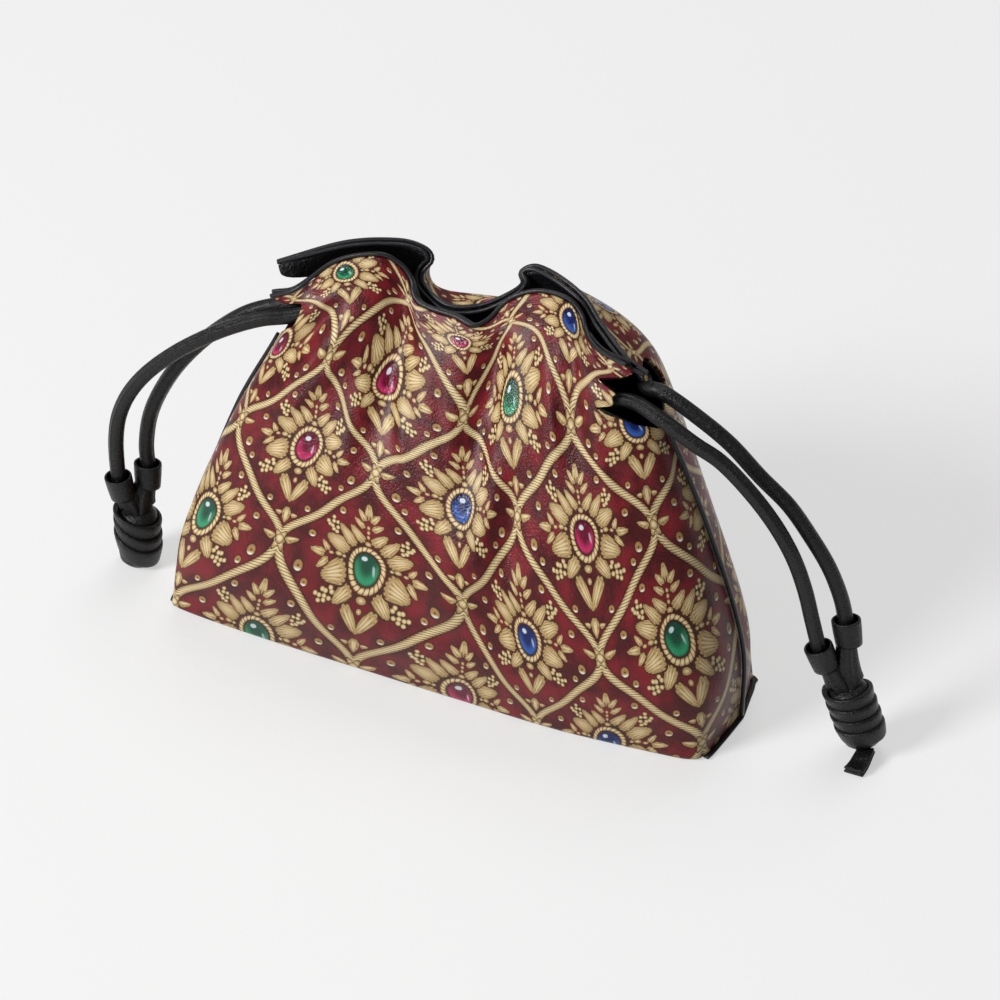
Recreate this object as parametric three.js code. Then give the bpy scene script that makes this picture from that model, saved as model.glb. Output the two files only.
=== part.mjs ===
// Wide drawstring pouch in printed leather with a black leather lining. Millimetres, +Z up.
// The origin is the middle of the flat base. The front is -Y and the bag's long way is X.
// Each wall is a shell lofted through five lines: base, belly, waist, channel and rim.
// The channel is the level where each drawstring runs, inside the lining in a casing of its own.
import * as THREE from 'three';
import { mergeVertices } from 'three/addons/utils/BufferGeometryUtils.js';

// Outer size of the bag
const BASE_LENGTH = 282;
const BASE_DEPTH = 80;
const BAG_HEIGHT = 195;
const RIM_SPAN = 188;

// Leather
const PANEL_THICKNESS = 1.4;
const LINING_THICKNESS = 1.0;
const CLEARANCE = 0.3;
const SEAM_SETBACK = 4;

// Rim binding and the black edges of the seams
const BINDING_HEIGHT = 2.2;
const BINDING_OVERHANG = 0.2;
const BINDING_SEAT = 1;
const SEAM_EDGE_WIDTH = 2.2;
const SEAM_EDGE_PROUD = 2.2;
const SIDE_SEAM_FOOT = 0.06;
const SIDE_SEAM_STEPS = 12;
const BASE_SEAM_SHARES = [0.81, 0.86, 0.91, 0.96, 1];
const BASE_SEAM_HEIGHT = 1.2;
const BASE_SEAM_TILT = 0.35;

// Drawstrings, the casing round them and the slots that they leave by, as shares of half a panel
const CORD_DIAMETER = 7.6;
const CORD_SIDES = 8;
const CORD_STEPS = 74;
const CHANNEL_STEPS = 26;
const CHANNEL_END_INSET = 0.06;
const CASING_THICKNESS = 1.0;
const CASING_EASE = 1;
const CASING_SETBACK = 2.1;
const LEFT_SLOT = 0.16;
const RIGHT_SLOT = 0.2;

// Knots, the collars over them and the cut tail of the right one
const KNOT_DIAMETER = 23;
const KNOT_TURNS = 4;
const TURN_RELIEF = 1.6;
const TURN_FLAT = [0.3, 0.7];
const KNOT_SIDES = 10;
const COLLAR_WALL = 2;
const COLLAR_LIP = 0.7;
const COLLAR_LENGTH = 9;
const COLLAR_EASE = 0.9;
const COLLAR_SIDES = 10;
const TAIL_ROOT_WIDTH = 6;
const TAIL_END_WIDTH = 9;
const TAIL_THICKNESS = 2.4;

// Loft lines from the left side seam to the right one. Base, belly and waist are shares of half the
// base's length and depth and of the height. Channel and rim are shares of half the rim's span instead.
const FRONT_BASE = [
  [-1, 0.1, 0], [-0.987, -0.4, 0], [-0.972, -0.73, 0], [-0.94, -0.84, 0], [-0.64, -0.92, 0], [-0.2, -0.96, 0],
  [0.15, -0.99, 0], [0.5, -1, 0], [0.84, -0.9, 0], [0.94, -0.84, 0], [0.972, -0.73, 0], [0.987, -0.4, 0], [1, 0.1, 0],
];
const FRONT_BELLY = [
  [-0.96, 0.1, 0.23], [-0.95, -0.43, 0.23], [-0.905, -0.78, 0.23], [-0.75, -0.98, 0.23], [-0.43, -1.1, 0.23],
  [0, -1.15, 0.23], [0.43, -1.13, 0.23], [0.78, -1, 0.23], [0.93, -0.78, 0.23], [0.985, -0.43, 0.23], [0.99, 0.1, 0.23],
];
const FRONT_WAIST = [
  [-0.81, 0.1, 0.53], [-0.79, -0.33, 0.53], [-0.71, -0.6, 0.53], [-0.55, -0.78, 0.54], [-0.28, -0.85, 0.54],
  [0, -0.88, 0.53], [0.3, -0.85, 0.53], [0.58, -0.75, 0.53], [0.76, -0.53, 0.53], [0.84, -0.25, 0.53], [0.86, 0.1, 0.53],
];
const FRONT_CHANNEL = [
  [-0.94, 0.1, 0.8], [-0.92, -0.02, 0.815], [-0.86, -0.12, 0.838], [-0.75, -0.16, 0.86], [-0.6, -0.1, 0.885],
  [-0.46, 0.02, 0.885],
  [-0.35, 0.08, 0.85], [-0.21, -0.05, 0.83], [0, -0.1, 0.82], [0.13, 0, 0.835],
  [0.27, 0.12, 0.875], [0.42, 0.12, 0.887], [0.56, -0.03, 0.872], [0.7, -0.18, 0.856], [0.85, -0.2, 0.85],
  [0.97, -0.1, 0.84], [1.02, 0.1, 0.825],
];
const FRONT_RIM = [
  [-0.98, -0.02, 0.88], [-0.84, -0.02, 0.918], [-0.7, 0.3, 0.974], [-0.51, 0.45, 1], [-0.41, 0.5, 0.982],
  [-0.345, 0.46, 0.955], [-0.315, 0.37, 0.932], [-0.27, 0.3, 0.919], [-0.19, 0.27, 0.914], [-0.06, 0.24, 0.914],
  [0.045, 0.2, 0.908], [0.11, 0.33, 0.92], [0.18, 0.53, 0.96], [0.31, 0.6, 0.99], [0.45, 0.61, 0.988],
  [0.53, 0.55, 0.966], [0.575, 0.43, 0.945], [0.63, 0.31, 0.932], [0.72, 0.19, 0.926], [0.86, 0.09, 0.928],
];
const BACK_BASE = [
  [-1, 0.1, 0], [-0.987, 0.4, 0], [-0.972, 0.7, 0], [-0.94, 0.82, 0], [-0.64, 0.88, 0], [0, 0.9, 0],
  [0.64, 0.88, 0], [0.94, 0.82, 0], [0.972, 0.7, 0], [0.987, 0.4, 0], [1, 0.1, 0],
];
const BACK_BELLY = [
  [-0.96, 0.1, 0.23], [-0.945, 0.48, 0.23], [-0.88, 0.8, 0.23], [-0.7, 0.98, 0.23], [0, 1.08, 0.23],
  [0.7, 1, 0.23], [0.9, 0.8, 0.23], [0.975, 0.48, 0.23], [0.99, 0.1, 0.23],
];
const BACK_WAIST = [
  [-0.81, 0.1, 0.53], [-0.78, 0.48, 0.53], [-0.69, 0.8, 0.53], [-0.5, 1.03, 0.53], [0, 1.15, 0.53],
  [0.5, 1.13, 0.53], [0.73, 0.93, 0.53], [0.83, 0.53, 0.53], [0.86, 0.1, 0.53],
];
const BACK_CHANNEL = [
  [-0.94, 0.1, 0.8], [-0.92, 0.43, 0.825], [-0.8, 0.8, 0.85], [-0.55, 1.08, 0.86], [-0.3, 1.05, 0.85], [0, 1.15, 0.85],
  [0.3, 1.2, 0.86], [0.6, 1.25, 0.86], [0.84, 1.03, 0.85], [0.97, 0.55, 0.84], [1.02, 0.1, 0.825],
];
const BACK_RIM = [
  [-1.01, 0.28, 0.933], [-0.73, 0.65, 0.98], [-0.49, 0.85, 0.995], [-0.36, 0.91, 0.985], [-0.305, 0.87, 0.965],
  [-0.33, 0.76, 0.935], [-0.29, 0.67, 0.915], [-0.15, 0.56, 0.9], [0, 0.65, 0.908], [0.13, 0.8, 0.938],
  [0.175, 0.91, 0.956], [0.15, 1.01, 0.972], [0.22, 1.06, 0.99], [0.36, 0.95, 0.995], [0.52, 0.81, 0.977],
  [0.64, 0.62, 0.949], [0.84, 0.3, 0.915], [0.95, 0.16, 0.91],
];

// Folds left by the drawstring's pull: two ends as [across, up], depth inward as a share of half the base's
// depth, and half width.
// Across runs from -1 at the left seam to 1 at the right. Up counts the loft lines, 0 at the base to 4 at the rim.
const FOLD_FADE = 0.4;
const FRONT_FOLDS = [
  { from: [-0.62, 3.4], to: [-0.86, 2.2], depth: 0.0875, width: 0.07 },
  { from: [-0.5, 3.2], to: [-0.78, 2.0], depth: -0.0625, width: 0.07 },
  { from: [-0.34, 3.6], to: [-0.24, 2.0], depth: 0.1, width: 0.08 },
  { from: [-0.42, 2.9], to: [-0.32, 1.8], depth: -0.075, width: 0.06 },
  { from: [0.16, 3.6], to: [0.1, 1.9], depth: 0.15, width: 0.07 },
  { from: [0.14, 2.1], to: [0.06, 0.9], depth: -0.1, width: 0.08 },
  { from: [0.3, 2.5], to: [0.26, 1.5], depth: 0.1, width: 0.06 },
  { from: [0.42, 3.4], to: [0.4, 2.2], depth: -0.075, width: 0.06 },
  { from: [0.6, 3.6], to: [0.56, 2.3], depth: 0.1, width: 0.06 },
];
const BACK_FOLDS = [
  { from: [-0.6, 3.3], to: [-0.66, 1.9], depth: 0.1, width: 0.08 },
  { from: [-0.26, 3.8], to: [-0.2, 2.0], depth: 0.125, width: 0.08 },
  { from: [0.1, 3.6], to: [0.14, 1.8], depth: 0.125, width: 0.07 },
  { from: [0.46, 3.4], to: [0.52, 2.0], depth: 0.1, width: 0.07 },
];

// Free stretches of the drawstrings from slot to knot, chosen by hand, and the knots' tops and feet
const LEFT_FRONT_ROUTE = [
  [-86, 0, 162.5], [-97, -4, 160.5], [-111, -7, 154], [-125, -9, 145], [-140, -10, 133], [-154, -11, 119],
  [-164, -12, 105], [-170, -13, 91], [-172.5, -13.5, 77], [-173, -13.5, 62], [-172.5, -13, 48], [-171, -11.5, 39],
  [-171, -11.5, 35],
];
const LEFT_BACK_ROUTE = [
  [-85, 10, 163], [-94, 7, 162.5], [-109, 3, 156], [-126, 1, 141], [-142, 0, 122], [-153, -1, 104], [-160, -2, 87],
  [-163, -2.5, 70], [-163, -2.5, 56], [-163, -3.5, 45], [-163.5, -4, 39], [-163.5, -4, 35],
];
const RIGHT_FRONT_ROUTE = [
  [85, 0, 166], [99, -4, 164.5], [117, -5, 156], [130, -4, 149], [144, -4, 137], [156, -3, 122], [165, -2, 106],
  [171, -1, 89], [175, 0, 72], [179, 1, 56], [184, 3, 41.5], [185.8, 3, 36],
];
const RIGHT_BACK_ROUTE = [
  [87, 12, 167], [97, 9, 168], [113, 8, 161], [129, 8, 151], [144, 8, 137.5], [158, 8, 126], [169, 9, 111],
  [178, 10, 96], [184.5, 10.5, 80], [188, 10, 66], [191, 9, 51], [193, 9, 43], [194.6, 9, 39],
];
const LEFT_KNOT = { top: [-167, -8, 34], foot: [-168, -8, 0.6] };
const RIGHT_KNOT = { top: [190.5, 6, 36.5], foot: [202.5, 6, 5.5] };
const TAIL_ROUTE = [[204, 0, 4.55], [204.2, -4, 3.6], [204.2, -8, 2], [203.6, -12, 1.6], [203, -17, 1.6]];
const COLLAR_RISE = { left_front: 13, left_back: 16, right_front: 17, right_back: 25 };

// Where the loft is sampled: shares of the floor, then up the wall with close rows round the channel.
// A wider step gives a wall's direction with its small gathers evened out.
const FRONT_COLUMNS = [
  -1, -0.965, -0.92, -0.84, -0.74, -0.62, -0.52, -0.44, -0.395, -0.36, -0.325, -0.29, -0.25, -0.18, -0.08, 0.02, 0.08,
  0.13, 0.18, 0.23, 0.3, 0.4, 0.48, 0.53, 0.58, 0.63, 0.7, 0.78, 0.87, 0.95, 1,
];
const BACK_COLUMNS = [
  -1, -0.94, -0.85, -0.74, -0.62, -0.53, -0.46, -0.42, -0.385, -0.35, -0.31, -0.26, -0.19, -0.1, 0, 0.08, 0.14, 0.18,
  0.22, 0.26, 0.31, 0.38, 0.46, 0.54, 0.62, 0.7, 0.78, 0.86, 0.94, 1,
];
const FLOOR_ROWS = [0, 0.55];
const FINE_STEP = 0.02;
const RIM_STEP = 0.04;
const CHANNEL_STEP = 0.1;
const WALL_ROWS = [0, 0.45, 1, 1.6, 2.15, 2.6, 2.86, 3.03, 3.3, 3.62, 4];
const CASING_BOW = [-115, -69, -23, 23, 69, 115];
const CORD_LEVEL = 3.03;
const SLOT = { bottom: 2.8, low: 2.98, high: 3.35, top: 3.85, inner: 0.6 };
const RIM = 4;
const CHANNEL = 3;
const FLOOR_EDGE = 0.965;
const SEAM_BLEND = 0.8;

const HALF_LENGTH = BASE_LENGTH / 2;
const HALF_DEPTH = BASE_DEPTH / 2;
const HALF_RIM = RIM_SPAN / 2;
const LINING_OFFSET = PANEL_THICKNESS + CLEARANCE;
const WALL_THICKNESS = LINING_OFFSET + LINING_THICKNESS;
const CASING_RADIUS = CORD_DIAMETER / 2 + CASING_EASE;
const CORD_INSET = WALL_THICKNESS + CASING_SETBACK + CORD_DIAMETER / 2;

const vec = (x, y, z) => new THREE.Vector3(x, y, z);
const ramp = (low, high, value) => THREE.MathUtils.smoothstep(value, low, high);
const mix = THREE.MathUtils.lerp;

function spline(points) {
  return new THREE.CatmullRomCurve3(points, false, 'catmullrom', 0.5);
}

function loftLine(rows, halfSpan) {
  return spline(rows.map(([x, y, z]) => vec(x * halfSpan, y * HALF_DEPTH, z * BAG_HEIGHT)));
}

function wall(facing, lines, folds, columns) {
  const curves = lines.map((rows, index) => loftLine(rows, index < 3 ? HALF_LENGTH : HALF_RIM));
  return { facing, curves, folds, columns, profiles: new Map() };
}

const FRONT_LINES = [FRONT_BASE, FRONT_BELLY, FRONT_WAIST, FRONT_CHANNEL, FRONT_RIM];
const BACK_LINES = [BACK_BASE, BACK_BELLY, BACK_WAIST, BACK_CHANNEL, BACK_RIM];
const FRONT = wall(-1, FRONT_LINES, FRONT_FOLDS, FRONT_COLUMNS);
const BACK = wall(1, BACK_LINES, BACK_FOLDS, BACK_COLUMNS);

function foldDepth(folds, across, up) {
  return folds.reduce((sum, { from, to, depth, width }) => {
    const along = THREE.MathUtils.clamp((up - to[1]) / (from[1] - to[1]), 0, 1);
    const fade = ramp(0, FOLD_FADE, along) * (1 - ramp(1 - FOLD_FADE, 1, along));
    const aside = (across - mix(to[0], from[0], along)) / width;
    return sum + depth * HALF_DEPTH * fade * Math.exp(-aside * aside);
  }, 0);
}

// The wall's profile from base to rim at one place across it
function profile(side, across) {
  const key = across.toFixed(6);
  if (!side.profiles.has(key)) {
    const share = THREE.MathUtils.clamp((across + 1) / 2, 0, 1);
    side.profiles.set(key, spline(side.curves.map((curve) => curve.getPointAt(share))));
  }
  return side.profiles.get(key);
}

// A point of the panel's outer face. Below the channel the two panels meet in a flat side seam.
function outerPoint(side, across, up) {
  const point = profile(side, across).getPoint(up / RIM);
  if (up < CHANNEL) {
    const drift = profile(side, Math.sign(across)).getPoint(up / RIM).y - SEAM_SETBACK;
    point.y -= drift * ramp(SEAM_BLEND, 1, Math.abs(across));
  }
  point.y += side.facing * (CLEARANCE / 2 - foldDepth(side.folds, across, up));
  return point;
}

// The direction into the bag, square to the wall. A wide step evens out the gathers.
function inwardAt(side, across, up, step = FINE_STEP) {
  const left = outerPoint(side, Math.max(-1, across - step), up);
  const right = outerPoint(side, Math.min(1, across + step), up);
  const low = outerPoint(side, across, Math.max(0, up - step));
  const high = outerPoint(side, across, Math.min(RIM, up + step));
  return right.sub(left).cross(high.sub(low)).multiplyScalar(side.facing).normalize();
}

// The same on a side seam, turned into the seam's own plane
function inwardOnSeam(side, across, up) {
  return inwardAt(side, across, up).setY(0).normalize();
}

// How far a panel reaches towards its side seam: less beside the slot that the drawstrings leave by
function reach(across, up) {
  const depth = across < 0 ? LEFT_SLOT : RIGHT_SLOT;
  const open = ramp(SLOT.bottom, SLOT.low, up) * (1 - ramp(SLOT.high, SLOT.top, up));
  const part = Math.abs(across);
  if (part <= SLOT.inner) return across;
  return Math.sign(across) * mix(SLOT.inner, 1 - depth * open, (part - SLOT.inner) / (1 - SLOT.inner));
}

// A point of a layer that lies `depth` under the outer face. Over the floor the layer's corner is mitred.
function wallPoint(side, column, up, depth) {
  const across = reach(column, up);
  const onSeam = Math.abs(column) === 1 && up <= SLOT.bottom;
  const inward = onSeam ? inwardOnSeam(side, across, up) : inwardAt(side, across, up);
  if (up === 0) {
    const floorUp = vec(0, 0, 1);
    inward.add(floorUp).divideScalar(1 + inward.dot(floorUp));
  }
  return outerPoint(side, across, up).addScaledVector(inward, depth);
}

function floorPoint(side, column, share, depth) {
  const edge = wallPoint(side, column, 0, depth);
  const seamX = column * HALF_LENGTH * FLOOR_EDGE;
  const seamY = SEAM_SETBACK + side.facing * (CLEARANCE / 2);
  return vec(mix(seamX, edge.x, share), mix(seamY, edge.y, share), depth);
}

function layer(side, depth) {
  const floor = FLOOR_ROWS.map((share) => side.columns.map((column) => floorPoint(side, column, share, depth)));
  const rows = WALL_ROWS.map((up) => side.columns.map((column) => wallPoint(side, column, up, depth)));
  return [...floor, ...rows];
}

// A closed solid from corner points and faces that name them. It is turned right side out at the end.
function solid(points, faces) {
  const geometry = new THREE.BufferGeometry();
  geometry.setAttribute('position', new THREE.Float32BufferAttribute(points.flatMap((p) => p.toArray()), 3));
  const volume = faces.reduce((sum, [a, b, c]) => {
    return sum + points[a].dot(points[b].clone().cross(points[c]));
  }, 0);
  const outward = volume > 0 ? faces : faces.map(([a, b, c]) => [a, c, b]);
  geometry.setIndex(outward.flat());
  geometry.computeVertexNormals();
  return geometry;
}

function quad(a, b, c, d) {
  return [[a, b, c], [a, c, d]];
}

// A sheet with thickness, between two equal grids of points. Its diagonals lean out to both ends alike.
function sheetSolid(near, far) {
  const height = near.length;
  const width = near[0].length;
  const count = height * width;
  const at = (face, row, column) => face * count + row * width + column;
  const faces = [];
  for (let r = 0; r < height - 1; r += 1) {
    for (let c = 0; c < width - 1; c += 1) {
      const [near0, near1, near2, near3] = [at(0, r, c), at(0, r, c + 1), at(0, r + 1, c + 1), at(0, r + 1, c)];
      const [far0, far1, far2, far3] = [near0, near1, near2, near3].map((index) => index + count);
      if (c < width / 2 - 1) {
        faces.push(...quad(near0, near1, near2, near3), ...quad(far0, far3, far2, far1));
      } else {
        faces.push(...quad(near1, near2, near3, near0), ...quad(far1, far0, far3, far2));
      }
    }
    faces.push(...quad(at(0, r, 0), at(0, r + 1, 0), at(1, r + 1, 0), at(1, r, 0)));
    faces.push(...quad(at(0, r, width - 1), at(1, r, width - 1), at(1, r + 1, width - 1), at(0, r + 1, width - 1)));
  }
  for (let c = 0; c < width - 1; c += 1) {
    faces.push(...quad(at(0, 0, c), at(1, 0, c), at(1, 0, c + 1), at(0, 0, c + 1)));
    faces.push(...quad(at(0, height - 1, c), at(0, height - 1, c + 1), at(1, height - 1, c + 1), at(1, height - 1, c)));
  }
  return solid([...near, ...far].flat(), faces);
}

// A bar swept through equal rings of corners
function barSolid(rings) {
  const sides = rings[0].length;
  const faces = [];
  for (let r = 0; r < rings.length - 1; r += 1) {
    for (let i = 0; i < sides; i += 1) {
      const next = (i + 1) % sides;
      faces.push(...quad(r * sides + i, r * sides + next, (r + 1) * sides + next, (r + 1) * sides + i));
    }
  }
  const last = (rings.length - 1) * sides;
  for (let i = 1; i < sides - 1; i += 1) {
    faces.push([0, i + 1, i]);
    faces.push([last, last + i, last + i + 1]);
  }
  return solid(rings.flat(), faces);
}

function panelSolid(side) {
  return sheetSolid(layer(side, 0), layer(side, PANEL_THICKNESS));
}

function liningSolid(side) {
  return sheetSolid(layer(side, LINING_OFFSET), layer(side, WALL_THICKNESS));
}

// A flat strip that caps the rim edges of panel and lining
function bindingSolid(side) {
  const rings = side.columns.map((across) => {
    const inward = inwardAt(side, across, RIM, RIM_STEP);
    const edge = outerPoint(side, across, RIM);
    const along = outerPoint(side, Math.min(1, across + RIM_STEP), RIM);
    along.sub(outerPoint(side, Math.max(-1, across - RIM_STEP), RIM));
    const upward = along.cross(inward).multiplyScalar(-side.facing).normalize();
    const corner = (depth, height) => edge.clone().addScaledVector(inward, depth).addScaledVector(upward, height);
    const inside = WALL_THICKNESS + BINDING_OVERHANG;
    const top = BINDING_SEAT + BINDING_HEIGHT;
    return [
      corner(-BINDING_OVERHANG, BINDING_SEAT), corner(inside, BINDING_SEAT),
      corner(inside, top), corner(-BINDING_OVERHANG, top),
    ];
  });
  return barSolid(rings);
}

// The black edge that stands along a side seam, from just over the floor to the slot
function sideSeamSolid(across) {
  const rows = Array.from({ length: SIDE_SEAM_STEPS + 1 }, (_, i) => {
    return mix(SIDE_SEAM_FOOT, SLOT.bottom, i / SIDE_SEAM_STEPS);
  });
  const rings = rows.map((up) => {
    const foot = outerPoint(FRONT, across, up);
    const outward = inwardOnSeam(FRONT, across, up).negate();
    const half = SEAM_EDGE_WIDTH / 2;
    return [[CLEARANCE, -half], [CLEARANCE, half], [SEAM_EDGE_PROUD, half], [SEAM_EDGE_PROUD, -half]].map(([out, aside]) => {
      return vec(foot.x, SEAM_SETBACK + aside, foot.z).addScaledVector(outward, out);
    });
  });
  return barSolid(rings);
}

// The black edge round one end of the base, standing out from the fold between floor and wall
function baseSeamSolid(end) {
  const round = BASE_SEAM_SHARES.slice(0, -1).reverse();
  const stops = [...BASE_SEAM_SHARES.map((s) => [FRONT, s]), ...round.map((s) => [BACK, s])];
  const rings = stops.map(([side, share]) => {
    const foot = outerPoint(side, end * share, 0);
    const inward = share === 1 ? inwardOnSeam(side, end, 0) : inwardAt(side, end * share, 0);
    const outward = inward.setZ(0).normalize().negate();
    return [[0, CLEARANCE], [1, CLEARANCE], [1, 1], [0, 1]].map(([out, top]) => {
      const distance = mix(2 * CLEARANCE, SEAM_EDGE_PROUD, out);
      return foot.clone().addScaledVector(outward, distance).setZ(top * (1 + BASE_SEAM_TILT * out) * BASE_SEAM_HEIGHT);
    });
  });
  return barSolid(rings);
}

// The middle of the drawstring all along its casing
function channelLine(side) {
  const from = -1 + LEFT_SLOT + CHANNEL_END_INSET;
  const to = 1 - RIGHT_SLOT - CHANNEL_END_INSET;
  return Array.from({ length: CHANNEL_STEPS + 1 }, (_, i) => {
    const across = mix(from, to, i / CHANNEL_STEPS);
    const inward = inwardAt(side, across, CORD_LEVEL, CHANNEL_STEP);
    return outerPoint(side, across, CORD_LEVEL).addScaledVector(inward, CORD_INSET);
  });
}

// The casing: a strip of lining leather bowed round the drawstring, its two edges sewn down on the lining
function casingSolid(side) {
  const line = channelLine(side);
  const frames = line.map((centre, index) => {
    const along = line[Math.min(index + 1, line.length - 1)].clone().sub(line[Math.max(index - 1, 0)]);
    const upward = along.clone().cross(vec(0, -side.facing, 0)).multiplyScalar(-side.facing).normalize();
    const inward = upward.clone().cross(along).multiplyScalar(-side.facing).normalize();
    return { centre, inward, upward };
  });
  const face = (radius) => CASING_BOW.map((degrees) => frames.map(({ centre, inward, upward }) => {
    const turn = THREE.MathUtils.degToRad(degrees);
    const point = centre.clone().addScaledVector(inward, radius * Math.cos(turn));
    return point.addScaledVector(upward, radius * Math.sin(turn));
  }));
  return sheetSolid(face(CASING_RADIUS), face(CASING_RADIUS + CASING_THICKNESS));
}

// The drawstring: left free stretch, the stretch in its casing, then the right free stretch
function cordPath(side, leftRoute, rightRoute) {
  const left = leftRoute.map((p) => vec(...p)).reverse();
  const right = rightRoute.map((p) => vec(...p));
  return spline([...left, ...channelLine(side), ...right]);
}

function cordSolid(path) {
  const section = new THREE.Shape();
  section.absarc(0, 0, CORD_DIAMETER / 2, 0, Math.PI * 2);
  return closed(new THREE.ExtrudeGeometry(section, {
    steps: CORD_STEPS, curveSegments: CORD_SIDES / 2, extrudePath: path, bevelEnabled: false,
  }));
}

function closed(geometry) {
  geometry.deleteAttribute('uv');
  geometry.deleteAttribute('normal');
  const merged = mergeVertices(geometry, 1e-4);
  merged.computeVertexNormals();
  return merged;
}

// A turned form standing on `foot` and pointing at `top`
function stand(geometry, foot, top) {
  const axis = vec(...top).sub(vec(...foot)).normalize();
  geometry.applyQuaternion(new THREE.Quaternion().setFromUnitVectors(vec(0, 1, 0), axis));
  return geometry.translate(...foot);
}

// The knot's barrel: flat turns of leather wound one under the other
function knotSolid({ top, foot }) {
  const height = vec(...top).distanceTo(vec(...foot));
  const outside = KNOT_DIAMETER / 2;
  const pitch = height / KNOT_TURNS;
  const outline = [new THREE.Vector2(0, 0)];
  for (let turn = 0; turn < KNOT_TURNS; turn += 1) {
    const low = turn * pitch;
    outline.push(new THREE.Vector2(outside - TURN_RELIEF, low));
    outline.push(...TURN_FLAT.map((share) => new THREE.Vector2(outside, low + pitch * share)));
  }
  outline.push(new THREE.Vector2(outside - TURN_RELIEF, height));
  outline.push(new THREE.Vector2(0, height));
  return closed(stand(new THREE.LatheGeometry(outline, KNOT_SIDES), foot, top));
}

// A ring of leather round a strand, `rise` above the knot
function collarSolid(route, rise) {
  const strand = spline(route.map((p) => vec(...p)));
  const share = 1 - rise / strand.getLength();
  const foot = strand.getPointAt(share);
  const axis = strand.getTangentAt(share).negate();
  foot.addScaledVector(axis, -COLLAR_LENGTH / 2);
  const inside = CORD_DIAMETER / 2 + COLLAR_EASE;
  const outside = inside + COLLAR_WALL;
  const outline = [
    [inside, 0], [outside - COLLAR_LIP, 0], [outside, COLLAR_LIP], [outside, COLLAR_LENGTH - COLLAR_LIP],
    [outside - COLLAR_LIP, COLLAR_LENGTH],
    [inside, COLLAR_LENGTH], [inside, 0],
  ];
  const ring = new THREE.LatheGeometry(outline.map(([r, h]) => new THREE.Vector2(r, h)), COLLAR_SIDES);
  return closed(stand(ring, foot.toArray(), foot.clone().add(axis).toArray()));
}

// The cut end of the cord, coming out under the right knot and lying flat
function tailSolid({ top, foot }) {
  const axis = vec(...top).sub(vec(...foot)).normalize();
  const underKnot = vec(axis.z, 0, -axis.x);
  const onFloor = vec(1, 0, 0);
  const rings = TAIL_ROUTE.map((point, index) => {
    const along = index / (TAIL_ROUTE.length - 1);
    const wide = underKnot.clone().lerp(onFloor, along).setLength(mix(TAIL_ROOT_WIDTH, TAIL_END_WIDTH, along) / 2);
    const thick = axis.clone().lerp(vec(0, 0, 1), along).setLength(TAIL_THICKNESS / 2);
    const centre = vec(...point);
    return [[-1, -1], [1, -1], [1, 1], [-1, 1]].map(([w, t]) => {
      return centre.clone().addScaledVector(wide, w).addScaledVector(thick, t);
    });
  });
  return barSolid(rings);
}

const PRINTED_LEATHER = { color: 0x6a302c, roughness: 0.42, metalness: 0 };
const BLACK_LEATHER = { color: 0x17161a, roughness: 0.5, metalness: 0 };
const BLACK_EDGE = { color: 0x2a2a2d, roughness: 0.45, metalness: 0 };

const bag = new THREE.Group();
const base = new THREE.Group();
bag.add(base);

function add(group, name, geometry, look) {
  const mesh = new THREE.Mesh(geometry, new THREE.MeshStandardMaterial(look));
  mesh.name = name;
  group.add(mesh);
}

add(base, 'front_panel', panelSolid(FRONT), PRINTED_LEATHER);
add(base, 'back_panel', panelSolid(BACK), PRINTED_LEATHER);
add(base, 'front_lining', liningSolid(FRONT), BLACK_LEATHER);
add(base, 'back_lining', liningSolid(BACK), BLACK_LEATHER);
add(base, 'front_cord_casing', casingSolid(FRONT), BLACK_LEATHER);
add(base, 'back_cord_casing', casingSolid(BACK), BLACK_LEATHER);
add(base, 'front_rim_binding', bindingSolid(FRONT), BLACK_EDGE);
add(base, 'back_rim_binding', bindingSolid(BACK), BLACK_EDGE);
add(base, 'left_side_seam_edge', sideSeamSolid(-1), BLACK_EDGE);
add(base, 'right_side_seam_edge', sideSeamSolid(1), BLACK_EDGE);
add(base, 'left_base_seam_edge', baseSeamSolid(-1), BLACK_EDGE);
add(base, 'right_base_seam_edge', baseSeamSolid(1), BLACK_EDGE);
add(bag, 'front_drawstring', cordSolid(cordPath(FRONT, LEFT_FRONT_ROUTE, RIGHT_FRONT_ROUTE)), BLACK_LEATHER);
add(bag, 'back_drawstring', cordSolid(cordPath(BACK, LEFT_BACK_ROUTE, RIGHT_BACK_ROUTE)), BLACK_LEATHER);
add(bag, 'left_knot', knotSolid(LEFT_KNOT), BLACK_LEATHER);
add(bag, 'right_knot', knotSolid(RIGHT_KNOT), BLACK_LEATHER);
add(bag, 'left_front_collar', collarSolid(LEFT_FRONT_ROUTE, COLLAR_RISE.left_front), BLACK_LEATHER);
add(bag, 'left_back_collar', collarSolid(LEFT_BACK_ROUTE, COLLAR_RISE.left_back), BLACK_LEATHER);
add(bag, 'right_front_collar', collarSolid(RIGHT_FRONT_ROUTE, COLLAR_RISE.right_front), BLACK_LEATHER);
add(bag, 'right_back_collar', collarSolid(RIGHT_BACK_ROUTE, COLLAR_RISE.right_back), BLACK_LEATHER);
add(bag, 'right_knot_tail', tailSolid(RIGHT_KNOT), BLACK_LEATHER);

export default bag;
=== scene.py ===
"""A wide drawstring pouch in printed leather with a black lining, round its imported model. Metres, +Z up."""
import math

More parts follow.
